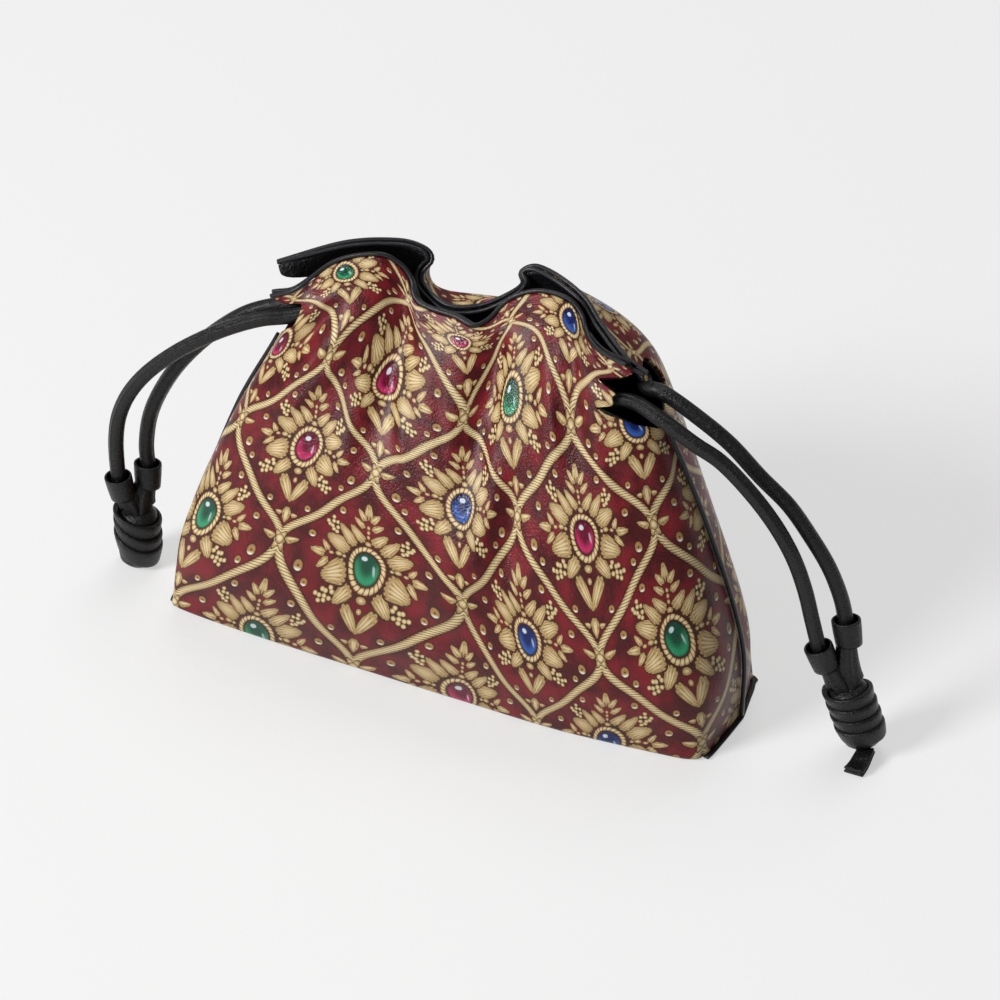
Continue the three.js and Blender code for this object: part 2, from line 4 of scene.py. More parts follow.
import bpy
import numpy as np
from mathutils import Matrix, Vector


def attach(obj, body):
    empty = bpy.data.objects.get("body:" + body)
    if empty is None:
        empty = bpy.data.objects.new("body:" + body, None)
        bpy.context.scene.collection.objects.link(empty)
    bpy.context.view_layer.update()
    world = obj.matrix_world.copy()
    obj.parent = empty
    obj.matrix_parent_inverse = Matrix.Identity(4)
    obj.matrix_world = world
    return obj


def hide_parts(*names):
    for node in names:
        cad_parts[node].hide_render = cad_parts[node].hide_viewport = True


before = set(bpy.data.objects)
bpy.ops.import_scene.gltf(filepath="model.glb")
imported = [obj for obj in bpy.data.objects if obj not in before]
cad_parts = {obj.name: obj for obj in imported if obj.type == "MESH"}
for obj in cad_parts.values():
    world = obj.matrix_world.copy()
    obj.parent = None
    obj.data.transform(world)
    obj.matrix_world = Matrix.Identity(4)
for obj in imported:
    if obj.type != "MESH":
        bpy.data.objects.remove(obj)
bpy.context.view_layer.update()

# Outer size of the bag, its leathers and the gaps between them
BASE_LENGTH = 0.282
BASE_DEPTH = 0.080
BAG_HEIGHT = 0.195
RIM_SPAN = 0.188
PANEL_THICKNESS = 0.0014
LINING_THICKNESS = 0.0010
CLEARANCE = 0.0003
SEAM_SETBACK = 0.004
LINING_OFFSET = PANEL_THICKNESS + CLEARANCE
WALL_THICKNESS = LINING_OFFSET + LINING_THICKNESS

# Drawstrings, the casings that they run in and the slots that they leave by
CORD_DIAMETER = 0.0076
CASING_SETBACK = 0.0021
CASING_WALL = 0.001
CASING_RADIUS = CORD_DIAMETER / 2 + 0.001
CORD_INSET = WALL_THICKNESS + CASING_SETBACK + CORD_DIAMETER / 2
CORD_LEVEL = 3.03
CHANNEL_END_INSET = 0.06
CHANNEL_STEPS = 26
LEFT_SLOT = 0.16
RIGHT_SLOT = 0.20
SLOT_BOTTOM = 2.8
SLOT_LOW = 2.98
SLOT_HIGH = 3.35
SLOT_TOP = 3.85
SLOT_INNER = 0.6
# Where the right slot's edge is pulled back further in front: the height, the half width and how far
SLOT_HOLLOWS = [(3.33, 0.06, 0.04), (3.2, 0.05, -0.03), (2.93, 0.06, 0.14)]

# Up counts the loft lines: 0 at the base, 3 at the channel, 4 at the rim
CHANNEL = 3.0
RIM = 4.0
SEAM_BLEND = 0.8
FINE_STEP = 0.02
WIDE_STEP = 0.1

# Loft lines from the left side seam to the right one, in shares of half the length, half the depth and
# the height
FRONT_LINES = [
    [[-1, 0.1, 0], [-0.987, -0.4, 0], [-0.972, -0.73, 0], [-0.94, -0.84, 0], [-0.64, -0.92, 0],
     [-0.2, -0.96, 0], [0.15, -0.99, 0], [0.5, -1, 0], [0.84, -0.9, 0], [0.94, -0.84, 0], [0.972, -0.73, 0],
     [0.987, -0.4, 0], [1, 0.1, 0]],
    [[-0.96, 0.1, 0.23], [-0.95, -0.43, 0.23], [-0.905, -0.78, 0.23], [-0.75, -0.98, 0.23],
     [-0.43, -1.1, 0.23], [0, -1.15, 0.23], [0.43, -1.13, 0.23], [0.78, -1, 0.23], [0.93, -0.78, 0.23],
     [0.985, -0.43, 0.23], [0.99, 0.1, 0.23]],
    [[-0.81, 0.1, 0.53], [-0.79, -0.33, 0.53], [-0.71, -0.6, 0.53], [-0.55, -0.78, 0.54],
     [-0.28, -0.85, 0.54], [0, -0.88, 0.53], [0.3, -0.85, 0.53], [0.58, -0.75, 0.53], [0.76, -0.53, 0.53],
     [0.84, -0.25, 0.53], [0.86, 0.1, 0.53]],
    [[-0.94, 0.1, 0.8], [-0.92, -0.02, 0.815], [-0.86, -0.12, 0.838], [-0.75, -0.16, 0.86],
     [-0.6, -0.1, 0.885], [-0.46, 0.02, 0.885], [-0.35, 0.08, 0.85], [-0.21, -0.05, 0.83], [0, -0.1, 0.82],
     [0.13, 0, 0.835], [0.27, 0.12, 0.875], [0.42, 0.12, 0.887], [0.56, -0.03, 0.872], [0.7, -0.18, 0.856],
     [0.85, -0.2, 0.85], [0.97, -0.1, 0.84], [1.02, 0.1, 0.825]],
    [[-0.98, -0.02, 0.88], [-0.84, -0.02, 0.918], [-0.7, 0.3, 0.974], [-0.51, 0.45, 1], [-0.41, 0.5, 0.982],
     [-0.345, 0.46, 0.955], [-0.315, 0.37, 0.932], [-0.27, 0.3, 0.919], [-0.19, 0.27, 0.914],
     [-0.06, 0.24, 0.914], [0.045, 0.2, 0.908], [0.11, 0.33, 0.92], [0.18, 0.53, 0.96], [0.31, 0.6, 0.99],
     [0.45, 0.61, 0.988], [0.53, 0.55, 0.966], [0.575, 0.43, 0.945], [0.63, 0.31, 0.932],
     [0.72, 0.19, 0.926], [0.86, 0.09, 0.928]],
]
BACK_LINES = [
    [[-1, 0.1, 0], [-0.987, 0.4, 0], [-0.972, 0.7, 0], [-0.94, 0.82, 0], [-0.64, 0.88, 0], [0, 0.9, 0],
     [0.64, 0.88, 0], [0.94, 0.82, 0], [0.972, 0.7, 0], [0.987, 0.4, 0], [1, 0.1, 0]],
    [[-0.96, 0.1, 0.23], [-0.945, 0.48, 0.23], [-0.88, 0.8, 0.23], [-0.7, 0.98, 0.23], [0, 1.08, 0.23],
     [0.7, 1, 0.23], [0.9, 0.8, 0.23], [0.975, 0.48, 0.23], [0.99, 0.1, 0.23]],
    [[-0.81, 0.1, 0.53], [-0.78, 0.48, 0.53], [-0.69, 0.8, 0.53], [-0.5, 1.03, 0.53], [0, 1.15, 0.53],
     [0.5, 1.13, 0.53], [0.73, 0.93, 0.53], [0.83, 0.53, 0.53], [0.86, 0.1, 0.53]],
    [[-0.94, 0.1, 0.8], [-0.92, 0.43, 0.825], [-0.8, 0.8, 0.85], [-0.55, 1.08, 0.86], [-0.3, 1.05, 0.85],
     [0, 1.15, 0.85], [0.3, 1.2, 0.86], [0.6, 1.25, 0.86], [0.84, 1.03, 0.85], [0.97, 0.55, 0.84],
     [1.02, 0.1, 0.825]],
    [[-1.01, 0.28, 0.933], [-0.73, 0.65, 0.98], [-0.49, 0.85, 0.995], [-0.36, 0.91, 0.985],
     [-0.305, 0.87, 0.965], [-0.33, 0.76, 0.935], [-0.29, 0.67, 0.915], [-0.15, 0.56, 0.9],
     [0, 0.65, 0.908], [0.13, 0.8, 0.938], [0.175, 0.91, 0.956], [0.15, 1.01, 0.972], [0.22, 1.06, 0.99],
     [0.36, 0.95, 0.995], [0.52, 0.81, 0.977], [0.64, 0.62, 0.949], [0.84, 0.3, 0.915], [0.95, 0.16, 0.91]],
]

# Folds: across and up at the upper end, across and up at the lower end, depth inward, half width.
# The model's own folds come first. The shallow ones after them are creases from the pull of the drawstrings.
FOLD_FADE = 0.4
FRONT_FOLDS = [
    (-0.62, 3.4, -0.86, 2.2, 0.0035, 0.07), (-0.5, 3.2, -0.78, 2.0, -0.0025, 0.07),
    (-0.34, 3.6, -0.24, 2.0, 0.004, 0.08), (-0.42, 2.9, -0.32, 1.8, -0.003, 0.06),
    (0.16, 3.6, 0.1, 1.9, 0.006, 0.07), (0.14, 2.1, 0.06, 0.9, -0.004, 0.08),
    (0.3, 2.5, 0.26, 1.5, 0.004, 0.06), (0.42, 3.4, 0.4, 2.2, -0.003, 0.06),
    (0.6, 3.6, 0.56, 2.3, 0.004, 0.06),
    (-0.52, 2.95, -0.77, 2.1, 0.0008, 0.028), (-0.48, 2.9, -0.7, 2.0, -0.0012, 0.03),
    (-0.36, 2.9, 0.02, 1.7, 0.0009, 0.028), (-0.34, 2.95, -0.06, 2.0, -0.0013, 0.032),
    (-0.12, 2.95, 0.04, 2.2, 0.0008, 0.026), (0.05, 2.9, 0.26, 2.1, -0.001, 0.026),
    (0.17, 2.95, 0.17, 2.0, 0.0009, 0.024), (0.24, 2.4, 0.15, 1.3, -0.0014, 0.036),
    (0.38, 2.8, 0.35, 1.9, 0.0009, 0.026), (0.43, 2.95, 0.48, 2.3, -0.0011, 0.026),
    (0.66, 2.9, 0.7, 1.9, -0.0009, 0.03), (0.82, 2.7, 0.86, 1.8, 0.0007, 0.03),
    (-0.94, 0.75, -0.9, 0.05, -0.0012, 0.03), (0.9, 0.9, 0.94, 0.1, -0.0012, 0.03),
]
BACK_FOLDS = [
    (-0.6, 3.3, -0.66, 1.9, 0.004, 0.08), (-0.26, 3.8, -0.2, 2.0, 0.005, 0.08),
    (0.1, 3.6, 0.14, 1.8, 0.005, 0.07), (0.46, 3.4, 0.52, 2.0, 0.004, 0.07),
    (-0.44, 2.95, -0.5, 2.1, -0.0012, 0.03), (-0.1, 2.95, -0.02, 2.2, -0.0012, 0.03),
    (0.28, 2.95, 0.34, 2.1, -0.0012, 0.03), (0.66, 2.9, 0.72, 2.0, -0.001, 0.03),
]

# Free stretches of the drawstrings from slot to knot, in millimetres as in the model
MILLI = 0.001
LEFT_FRONT_ROUTE = [
    [-86, 0, 162.5], [-97, -4, 160.5], [-111, -7, 154], [-125, -9, 145], [-140, -10, 133], [-154, -11, 119],
    [-164, -12, 105], [-170, -13, 91], [-172.5, -13.5, 77], [-173, -13.5, 62], [-172.5, -13, 48],
    [-171, -11.5, 39], [-171, -11.5, 35],
]
LEFT_BACK_ROUTE = [
    [-85, 10, 163], [-94, 7, 162.5], [-109, 3, 156], [-126, 1, 141], [-142, 0, 122], [-153, -1, 104],
    [-160, -2, 87], [-163, -2.5, 70], [-163, -2.5, 56], [-163, -3.5, 45], [-163.5, -4, 39],
    [-163.5, -4, 35],
]
RIGHT_FRONT_ROUTE = [
    [85, 0, 166], [99, -4, 164.5], [117, -5, 156], [130, -4, 149], [144, -4, 137], [156, -3, 122],
    [165, -2, 106], [171, -1, 89], [175, 0, 72], [179, 1, 56], [184, 3, 41.5], [185.8, 3, 36],
]
RIGHT_BACK_ROUTE = [
    [87, 12, 167], [97, 9, 168], [113, 8, 161], [129, 8, 151], [144, 8, 137.5], [158, 8, 126],
    [169, 9, 111], [178, 10, 96], [184.5, 10.5, 80], [188, 10, 66], [191, 9, 51], [193, 9, 43],
    [194.6, 9, 39],
]
# Knots: top and foot in millimetres, the strap's width, its turns and how far each turn slants
LEFT_KNOT = {"top": [-167, -8, 34], "foot": [-168, -8, 0.6], "strap": 0.0108, "turns": 3, "slant": 0.0036}
RIGHT_KNOT = {"top": [190.5, 6, 36.5], "foot": [202.5, 6, 5.5], "strap": 0.0082, "turns": 4, "slant": 0.0006}
TAIL_ROUTE = [[204, 1.5, 5], [204, -3, 4.2], [203.8, -6, 3], [203.4, -9, 2.3], [203, -11.6, 2.1]]
COLLAR_RISE = {"left_front": 0.013, "left_back": 0.016, "right_front": 0.017, "right_back": 0.025}
KNOT_DIAMETER = 0.023


def ramp(low, high, value):
    """A smooth step from 0 at low to 1 at high."""
    share = np.clip((value - low) / (high - low), 0, 1)
    return share * share * (3 - 2 * share)


def mix(a, b, share):
    return a + (b - a) * share


def unit(v):
    return v / np.linalg.norm(v, axis=-1, keepdims=True)


def catmull(points, t):
    """Places at t, from 0 to 1, on a smooth curve through points. Curves side by side each take their own t."""
    last = len(points) - 1
    place = np.clip(t, 0, 1) * last
    index = np.minimum(place.astype(int), last - 1)
    w = (place - index)[..., None]
    padded = np.concatenate([[2 * points[0] - points[1]], points, [2 * points[-1] - points[-2]]])
    lanes = () if points.ndim == 2 else (np.arange(points.shape[1]),)
    p0, p1, p2, p3 = (padded[(index + k, *lanes)] for k in range(4))
    m1 = 0.5 * (p2 - p0)
    m2 = 0.5 * (p3 - p1)
    return p1 + w * m1 + w**2 * (3 * (p2 - p1) - 2 * m1 - m2) + w**3 * (2 * (p1 - p2) + m1 + m2)


def travelled(line):
    """The length along a line of points, up to each of them."""
    return np.concatenate([[0], np.cumsum(np.linalg.norm(np.diff(line, axis=0), axis=1))])


def even(points, share):
    """Places at even shares of the curve's length."""
    t = np.linspace(0, 1, 201)
    lengths = travelled(catmull(points, t))
    return catmull(points, np.interp(share * lengths[-1], lengths, t))


def loft_lines(rows_list):
    spans = [BASE_LENGTH] * 3 + [RIM_SPAN] * 2
    return [np.array(rows) * (span / 2, BASE_DEPTH / 2, BAG_HEIGHT) for rows, span in zip(rows_list, spans)]


FRONT = {"name": "front", "facing": -1, "lines": loft_lines(FRONT_LINES), "folds": FRONT_FOLDS,
         "hollows": SLOT_HOLLOWS}
BACK = {"name": "back", "facing": 1, "lines": loft_lines(BACK_LINES), "folds": BACK_FOLDS, "hollows": []}


def fold_depth(folds, across, up):
    """How far the folds push the wall inward at each place."""
    total = np.zeros_like(across)
    for from_across, from_up, to_across, to_up, depth, width in folds:
        along = np.clip((up - to_up) / (from_up - to_up), 0, 1)
        fade = ramp(0, FOLD_FADE, along) * (1 - ramp(1 - FOLD_FADE, 1, along))
        aside = (across - mix(to_across, from_across, along)) / width
        total += depth * fade * np.exp(-aside * aside)
    return total


def profile_point(side, across, up):
    """Points of the smooth loft, before the folds."""
    share = np.clip((across + 1) / 2, 0, 1)
    rows = np.stack([even(line, share) for line in side["lines"]])
    return catmull(rows, up / RIM)


def outer(side, across, up):
    """Points of the panel's outer face. Below the channel the two panels meet in a flat side seam."""
    across, up = np.broadcast_arrays(np.asarray(across, float), np.asarray(up, float))
    a, u = across.ravel(), up.ravel()
    point = profile_point(side, a, u)
    drift = profile_point(side, np.sign(a), u)[:, 1] - SEAM_SETBACK
    point[:, 1] -= np.where(u < CHANNEL, drift * ramp(SEAM_BLEND, 1, np.abs(a)), 0)
    point[:, 1] += side["facing"] * (CLEARANCE / 2 - fold_depth(side["folds"], a, u))
    return point.reshape(across.shape + (3,))


def inward(side, across, up, step=FINE_STEP):
    """The direction into the bag, square to the wall. A wide step evens out the gathers."""
    left = outer(side, np.maximum(-1, across - step), up)
    right = outer(side, np.minimum(1, across + step), up)
    low = outer(side, across, np.maximum(0, up - step))
    high = outer(side, across, np.minimum(RIM, up + step))
    return unit(np.cross(right - left, high - low) * side["facing"])


def reach(side, across, up):
    """How far a panel reaches towards its side seam: less beside the slot that the drawstrings leave by."""
    hollow = sum(deeper * np.exp(-(((up - level) / width) ** 2)) for level, width, deeper in side["hollows"])
    depth = np.where(across < 0, LEFT_SLOT, RIGHT_SLOT + hollow)
    opened = ramp(SLOT_BOTTOM, SLOT_LOW, up) * (1 - ramp(SLOT_HIGH, SLOT_TOP, up))
    part = np.abs(across)
    pulled = np.sign(across) * mix(SLOT_INNER, 1 - depth * opened, (part - SLOT_INNER) / (1 - SLOT_INNER))
    return np.where(part <= SLOT_INNER, across, pulled)


# Mesh building

def make_piece(name, points, faces, material, node_names=(), attributes=None):
    """A smooth mesh piece that rides on the bag and stands for the named nodes."""
    mesh = bpy.data.meshes.new(name)
    mesh.from_pydata([tuple(p) for p in points], [], faces)
    for key, values in (attributes or {}).items():
        layer = mesh.attributes.new(key, "FLOAT_VECTOR", "POINT")
        layer.data.foreach_set("vector", np.asarray(values, np.float32).ravel())
    mesh.polygons.foreach_set("use_smooth", [True] * len(mesh.polygons))
    mesh.materials.append(material)
    mesh.update()
    piece = bpy.data.objects.new(name, mesh)
    bpy.context.scene.collection.objects.link(piece)
    return dress(piece, node_names)


def dress(piece, node_names=()):
    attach(piece, "root")
    if node_names:
        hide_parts(*node_names)
    return piece


def turned_out(points, faces):
    """The faces, turned so that the closed mesh's volume is positive."""
    corners = np.array([[face[0], a, b] for face in faces for a, b in zip(face[1:], face[2:])])
    first, second, third = (points[corners[:, k]] for k in range(3))
    volume = np.sum(first * np.cross(second, third))
    return faces if volume > 0 else [face[::-1] for face in faces]


def sheet_mesh(near, far):
    """A closed sheet between two equal grids of points, as points and four-sided faces."""
    height, width = near.shape[:2]
    count = height * width
    index = np.arange(count).reshape(height, width)
    corners = np.stack([index[:-1, :-1], index[:-1, 1:], index[1:, 1:], index[1:, :-1]], -1).reshape(-1, 4)
    rim = np.concatenate([index[0, :], index[1:, -1], index[-1, -2::-1], index[-2:0:-1, 0]])
    following = np.roll(rim, -1)
    walls = np.stack([following, rim, rim + count, following + count], -1)
    faces = np.concatenate([corners, corners[:, ::-1] + count, walls])
    points = np.concatenate([near.reshape(-1, 3), far.reshape(-1, 3)])
    return points, turned_out(points, faces.tolist())


def sweep_mesh(path, ring, upward=(0, 0, 1), radius=None):
    """A closed bar that carries a ring of (aside, up) places along a path."""
    tangents = unit(np.gradient(path, axis=0))
    frames = carried_frames(tangents, np.asarray(upward, float))
    scale = np.ones(len(path)) if radius is None else radius
    rings = []
    for place, (aside, up), size in zip(path, frames, scale):
        rings.append(place + size * (ring[:, :1] * aside + ring[:, 1:] * up))
    return rings_mesh(rings)


def carried_frames(tangents, upward):
    """Two directions across the path at each point, turned as little as the path allows."""
    aside = unit(np.cross(tangents[0], upward))
    frames = []
    for tangent in tangents:
        aside = unit(aside - tangent * np.dot(aside, tangent))
        frames.append((aside, np.cross(aside, tangent)))
    return frames


def rings_mesh(rings):
    """A closed body through equal rings of points, its two ends closed by a fan."""
    sides = len(rings[0])
    points = [p for ring in rings for p in ring]
    faces = []
    for r in range(len(rings) - 1):
        for i in range(sides):
            j = (i + 1) % sides
            faces.append([r * sides + i, r * sides + j, (r + 1) * sides + j, (r + 1) * sides + i])
    for row, turn in ((0, -1), (len(rings) - 1, 1)):
        centre = len(points)
        points.append(np.mean(rings[row], axis=0))
        for i in range(sides):
            face = [centre, row * sides + i, row * sides + (i + 1) % sides]
            faces.append(face[::turn])
    points = np.array(points)
    return points, turned_out(points, faces)


def round_ring(radius, sides):
    angle = np.arange(sides) * 2 * np.pi / sides
    return np.stack([np.cos(angle), np.sin(angle)], -1) * radius


# Walls: the printed panels and the black lining behind them

PANEL_COLUMNS = 241
PANEL_ROWS = 121
WALL_START = 0.075
NEARLY_AT_SEAM = 0.9999
FLOOR_ROWS = [0, 0.3, 0.6, 0.8, 0.92]
FLOOR_EDGE = 0.965
EDGE_ROUND = 0.0035
EDGE_STEPS = 6


def wall_point(side, column, up, depth):
    across = reach(side, column, up)
    direction = inward(side, across, up)
    on_seam = (np.abs(column) > NEARLY_AT_SEAM) & (up <= SLOT_BOTTOM)
    direction[on_seam, 1] = 0
    direction = unit(direction)
    return outer(side, across, up) + direction * depth


def wall_grid(side, columns, ups, depth):
    """Points of the layer that lies depth under the outer face, from the floor's middle up to the rim."""
    column, up = np.meshgrid(columns, ups)
    wall = wall_point(side, column, up, depth)
    foot = outer(side, columns, np.zeros_like(columns))
    direction = inward(side, columns, np.zeros_like(columns))
    direction[[0, -1], 1] = 0
    direction = unit(direction)
    lean = direction + np.array([0, 0, 1])
    corner = foot + depth * lean / (1 + direction[:, 2:])
    seam = np.zeros_like(corner)
    seam[:, 0] = columns * BASE_LENGTH / 2 * FLOOR_EDGE
    seam[:, 1] = SEAM_SETBACK + side["facing"] * CLEARANCE / 2
    seam[:, 2] = depth
    floor = [mix(seam, corner, share) for share in FLOOR_ROWS]
    start = corner + unit(seam - corner) * EDGE_ROUND
    end = wall[0]
    bend = [corner * 2 * t * (1 - t) + start * (1 - t) ** 2 + end * t**2
            for t in np.linspace(0, 1, EDGE_STEPS)[:-1]]
    return np.array(floor + bend + list(wall))


def build_wall(side, materials):
    columns = np.linspace(-1, 1, PANEL_COLUMNS)
    ups = mix(WALL_START, RIM, np.linspace(0, 1, PANEL_ROWS))
    outside = wall_grid(side, columns, ups, 0)
    inside = wall_grid(side, columns, ups, PANEL_THICKNESS)
    points, faces = sheet_mesh(outside, inside)
    places = print_places(side, columns, ups, outside)
    name = side["name"]
    make_piece(f"{name}_printed_leather", points, faces, materials["print"], [f"{name}_panel"],
               {"print_place": np.concatenate([places, places])})
    lining_columns = columns[::2]
    lining_ups = ups[::2]
    near = wall_grid(side, lining_columns, lining_ups, LINING_OFFSET)
    far = wall_grid(side, lining_columns, lining_ups, WALL_THICKNESS)
    points, faces = sheet_mesh(near, far)
    make_piece(f"{name}_lining_leather", points, faces, materials["black"], [f"{name}_lining"])


# Places of the print on the leather: x counts its columns and y its half repeats. The front's places say
# where columns -2 to 6 lie across the panel, and how high, at each level of the trellis.

FLOOR_REPEAT = 0.052
PRINT_COLUMNS = np.arange(-2, 7)
PRINT_LEVELS = np.arange(0, 5)
FRONT_COLUMN_PLACES = [
    [-1.05, -0.78, -0.51, -0.21, 0.12, 0.34, 0.54, 0.8, 1.06],
    [-1.0, -0.74, -0.47, -0.18, 0.14, 0.32, 0.53, 0.76, 1.03],
    [-1.1, -0.81, -0.49, -0.22, 0.12, 0.3, 0.55, 0.8, 1.07],
    [-1.12, -0.86, -0.58, -0.32, 0.05, 0.24, 0.53, 0.86, 1.14],
    [-1.16, -0.88, -0.62, -0.31, 0.0, 0.26, 0.58, 0.88, 1.17],
]
FRONT_LEVEL_PLACES = [
    [0.1, 0.1, 0.1, 0.04, 0.16, 0.04, 0.05, 0.24, 0.2],
    [1.36, 1.36, 1.42, 1.42, 1.39, 1.18, 1.15, 1.4, 1.4],
    [2.17, 2.17, 2.16, 2.14, 2.08, 2.08, 2.09, 2.2, 2.2],
    [2.72, 2.72, 2.7, 2.66, 2.61, 2.7, 2.68, 2.88, 2.9],
    [3.75, 3.77, 3.77, 3.6, 3.46, 3.56, 3.78, 3.8, 3.8],
]
BACK_COLUMN_STEP = 0.27
BACK_LEVEL_PLACES = [0.1, 1.33, 2.12, 2.7, 3.65]


def level_at(up, x, places):
    """The trellis level at a height, read between the levels' own heights at that column."""
    heights = [np.interp(x, PRINT_COLUMNS, row) for row in places]
    heights = [2 * heights[0] - heights[1], *heights, 2 * heights[-1] - heights[-2]]
    level = np.full_like(up, -1.0)
    for low, high in zip(heights, heights[1:]):
        level += np.clip((up - low) / (high - low), 0, 1)
    return level


def column_at(across, level, places):
    """The trellis column at a place across, read between the levels' own columns."""
    columns = np.stack([np.interp(across, row, PRINT_COLUMNS) for row in places])
    level = np.clip(level, 0, PRINT_LEVELS[-1])
    low = np.minimum(level.astype(int), PRINT_LEVELS[-1] - 1)
    share = level - low
    below = np.take_along_axis(columns, low[None], 0)[0]
    above_it = np.take_along_axis(columns, low[None] + 1, 0)[0]
    return mix(below, above_it, ramp(0, 1, share))


def print_places(side, columns, ups, outside):
    """The print's (x, y) for each point of a wall. On the floor it runs on from the wall's foot."""
    column, up = np.meshgrid(columns, ups)
    across = reach(side, column, up)
    if side is FRONT:
        column_places, level_places = FRONT_COLUMN_PLACES, FRONT_LEVEL_PLACES
    else:
        column_places = [(PRINT_COLUMNS - 2) * BACK_COLUMN_STEP] * len(PRINT_LEVELS)
        level_places = [[height] * len(PRINT_COLUMNS) for height in BACK_LEVEL_PLACES]
    y = level_at(up, column_at(across, up, column_places), level_places)
    x = column_at(across, y, column_places)
    y = level_at(up, x, level_places)
    below = len(outside) - len(ups)
    floor = outside[:below]
    start = outside[below]
    away = np.linalg.norm(floor - start, axis=-1)
    x_all = np.concatenate([np.repeat(x[:1], below, axis=0), x])
    y_all = np.concatenate([y[:1] - away / FLOOR_REPEAT, y])
    return np.stack([x_all, y_all, np.zeros_like(x_all)], -1).reshape(-1, 3)


# Edges: the rounded piping on the rim, the black seam edges and the casings

PIPING_RADIUS = 0.00105
PIPING_SIDES = 12
PIPING_COLUMNS = 161
PIPING_STEP = 0.04
# The two rolls of the rim's bound edge: how far in from the outer face and how far above the leather's edge
PIPING_ROLLS = [(0.0001, 0.0013), (WALL_THICKNESS - 0.0001, 0.0015)]
SEAM_EDGE_WIDTH = 0.0022
SEAM_EDGE_PROUD = 0.0022
SIDE_SEAM_FOOT = 0.06
SIDE_SEAM_STEPS = 49
BASE_SEAM_START = 0.81
BASE_SEAM_STEPS = 17
BASE_SEAM_HEIGHT = 0.0012
BASE_SEAM_BOTTOM = 0.3
BASE_SEAM_TUCK = 0.002
BASE_SEAM_TILT = 0.35
CASING_COLUMNS = 105
CASING_TURNS = np.radians(np.linspace(-115, 115, 21))


def build_binding_tree():
    """Geometry nodes that carry a round roll of leather along each line of a path."""
    tree = bpy.data.node_groups.new("edge_binding", "GeometryNodeTree")
    kinds = [("Path", "NodeSocketGeometry"), ("Radius", "NodeSocketFloat"), ("Sides", "NodeSocketInt"),
             ("Finish", "NodeSocketMaterial")]
    for label, kind in kinds:
        tree.interface.new_socket(label, in_out="INPUT", socket_type=kind)
    tree.interface.new_socket("Binding", in_out="OUTPUT", socket_type="NodeSocketGeometry")
    given = tree.nodes.new("NodeGroupInput")
    result = tree.nodes.new("NodeGroupOutput")
    line = tree.nodes.new("GeometryNodeMeshToCurve")
    section = tree.nodes.new("GeometryNodeCurvePrimitiveCircle")
    tube = tree.nodes.new("GeometryNodeCurveToMesh")
    smooth = tree.nodes.new("GeometryNodeSetShadeSmooth")
    whole = tree.nodes.new("GeometryNodeRealizeInstances")
    finish = tree.nodes.new("GeometryNodeSetMaterial")
    tube.inputs["Fill Caps"].default_value = True
    for source, target in ((given.outputs["Path"], line.inputs["Mesh"]),
                           (given.outputs["Radius"], section.inputs["Radius"]),
                           (given.outputs["Sides"], section.inputs["Resolution"]),
                           (line.outputs["Curve"], tube.inputs["Curve"]),
                           (section.outputs["Curve"], tube.inputs["Profile Curve"]),
                           (tube.outputs["Mesh"], smooth.inputs["Geometry"]),
                           (smooth.outputs["Geometry"], whole.inputs["Geometry"]),
                           (whole.outputs["Geometry"], finish.inputs["Geometry"]),
                           (given.outputs["Finish"], finish.inputs["Material"]),
                           (finish.outputs["Geometry"], result.inputs["Binding"])):
        tree.links.new(source, target)
    return tree


def bind_paths(name, paths, radius, tree, material):
    """A plain mesh of the binding along the paths, made by the tree and then free of it."""
    mesh = bpy.data.meshes.new(f"{name}_path")
    points = []
    edges = []
    for path in paths:
        edges += [(len(points) + i, len(points) + i + 1) for i in range(len(path) - 1)]
        points += [tuple(place) for place in path]
    mesh.from_pydata(points, edges, [])
    piece = bpy.data.objects.new(name, mesh)
    bpy.context.scene.collection.objects.link(piece)
    modifier = piece.modifiers.new("binding", "NODES")
    modifier.node_group = tree
    values = {"Radius": radius, "Sides": PIPING_SIDES, "Finish": material}
    for socket in tree.interface.items_tree:
        if socket.in_out == "INPUT" and socket.name in values:
            modifier[socket.identifier] = values[socket.name]
    made = piece.evaluated_get(bpy.context.evaluated_depsgraph_get())
    bound = bpy.data.meshes.new_from_object(made)
    piece.modifiers.remove(modifier)
    piece.data = bound
    bound.name = name
    return piece


def build_piping(side, tree, material):
    """The bound edge of the rim: one roll over the leather and one over its lining."""
    columns = np.linspace(-1, 1, PIPING_COLUMNS)
    rim = np.full_like(columns, RIM)
    edge = outer(side, columns, rim)
    direction = inward(side, columns, rim, PIPING_STEP)
    right = outer(side, np.minimum(1, columns + PIPING_STEP), rim)
    left = outer(side, np.maximum(-1, columns - PIPING_STEP), rim)
    upward = unit(np.cross(right - left, direction) * -side["facing"])
    rolls = [edge + direction * inset + upward * rise for inset, rise in PIPING_ROLLS]
    name = side["name"]
    piping = bind_paths(f"{name}_rim_piping", rolls, PIPING_RADIUS, tree, material)
    dress(piping, [f"{name}_rim_binding"])


def inward_on_seam(side, across, up):
    """The level direction into the bag along the length, where the two panels meet."""
    direction = inward(side, across, up)
    direction[..., 1] = 0
    return unit(direction)


def rounded(corner_points, steps=3, share=0.3):
    """A ring of corners with each corner cut by a small curve."""
    ring = []
    for i, corner in enumerate(corner_points):
        before = corner + (corner_points[i - 1] - corner) * share
        after = corner + (corner_points[(i + 1) % len(corner_points)] - corner) * share
        for t in np.linspace(0, 1, steps):
            ring.append(before * (1 - t) ** 2 + corner * 2 * t * (1 - t) + after * t**2)
    return np.array(ring)


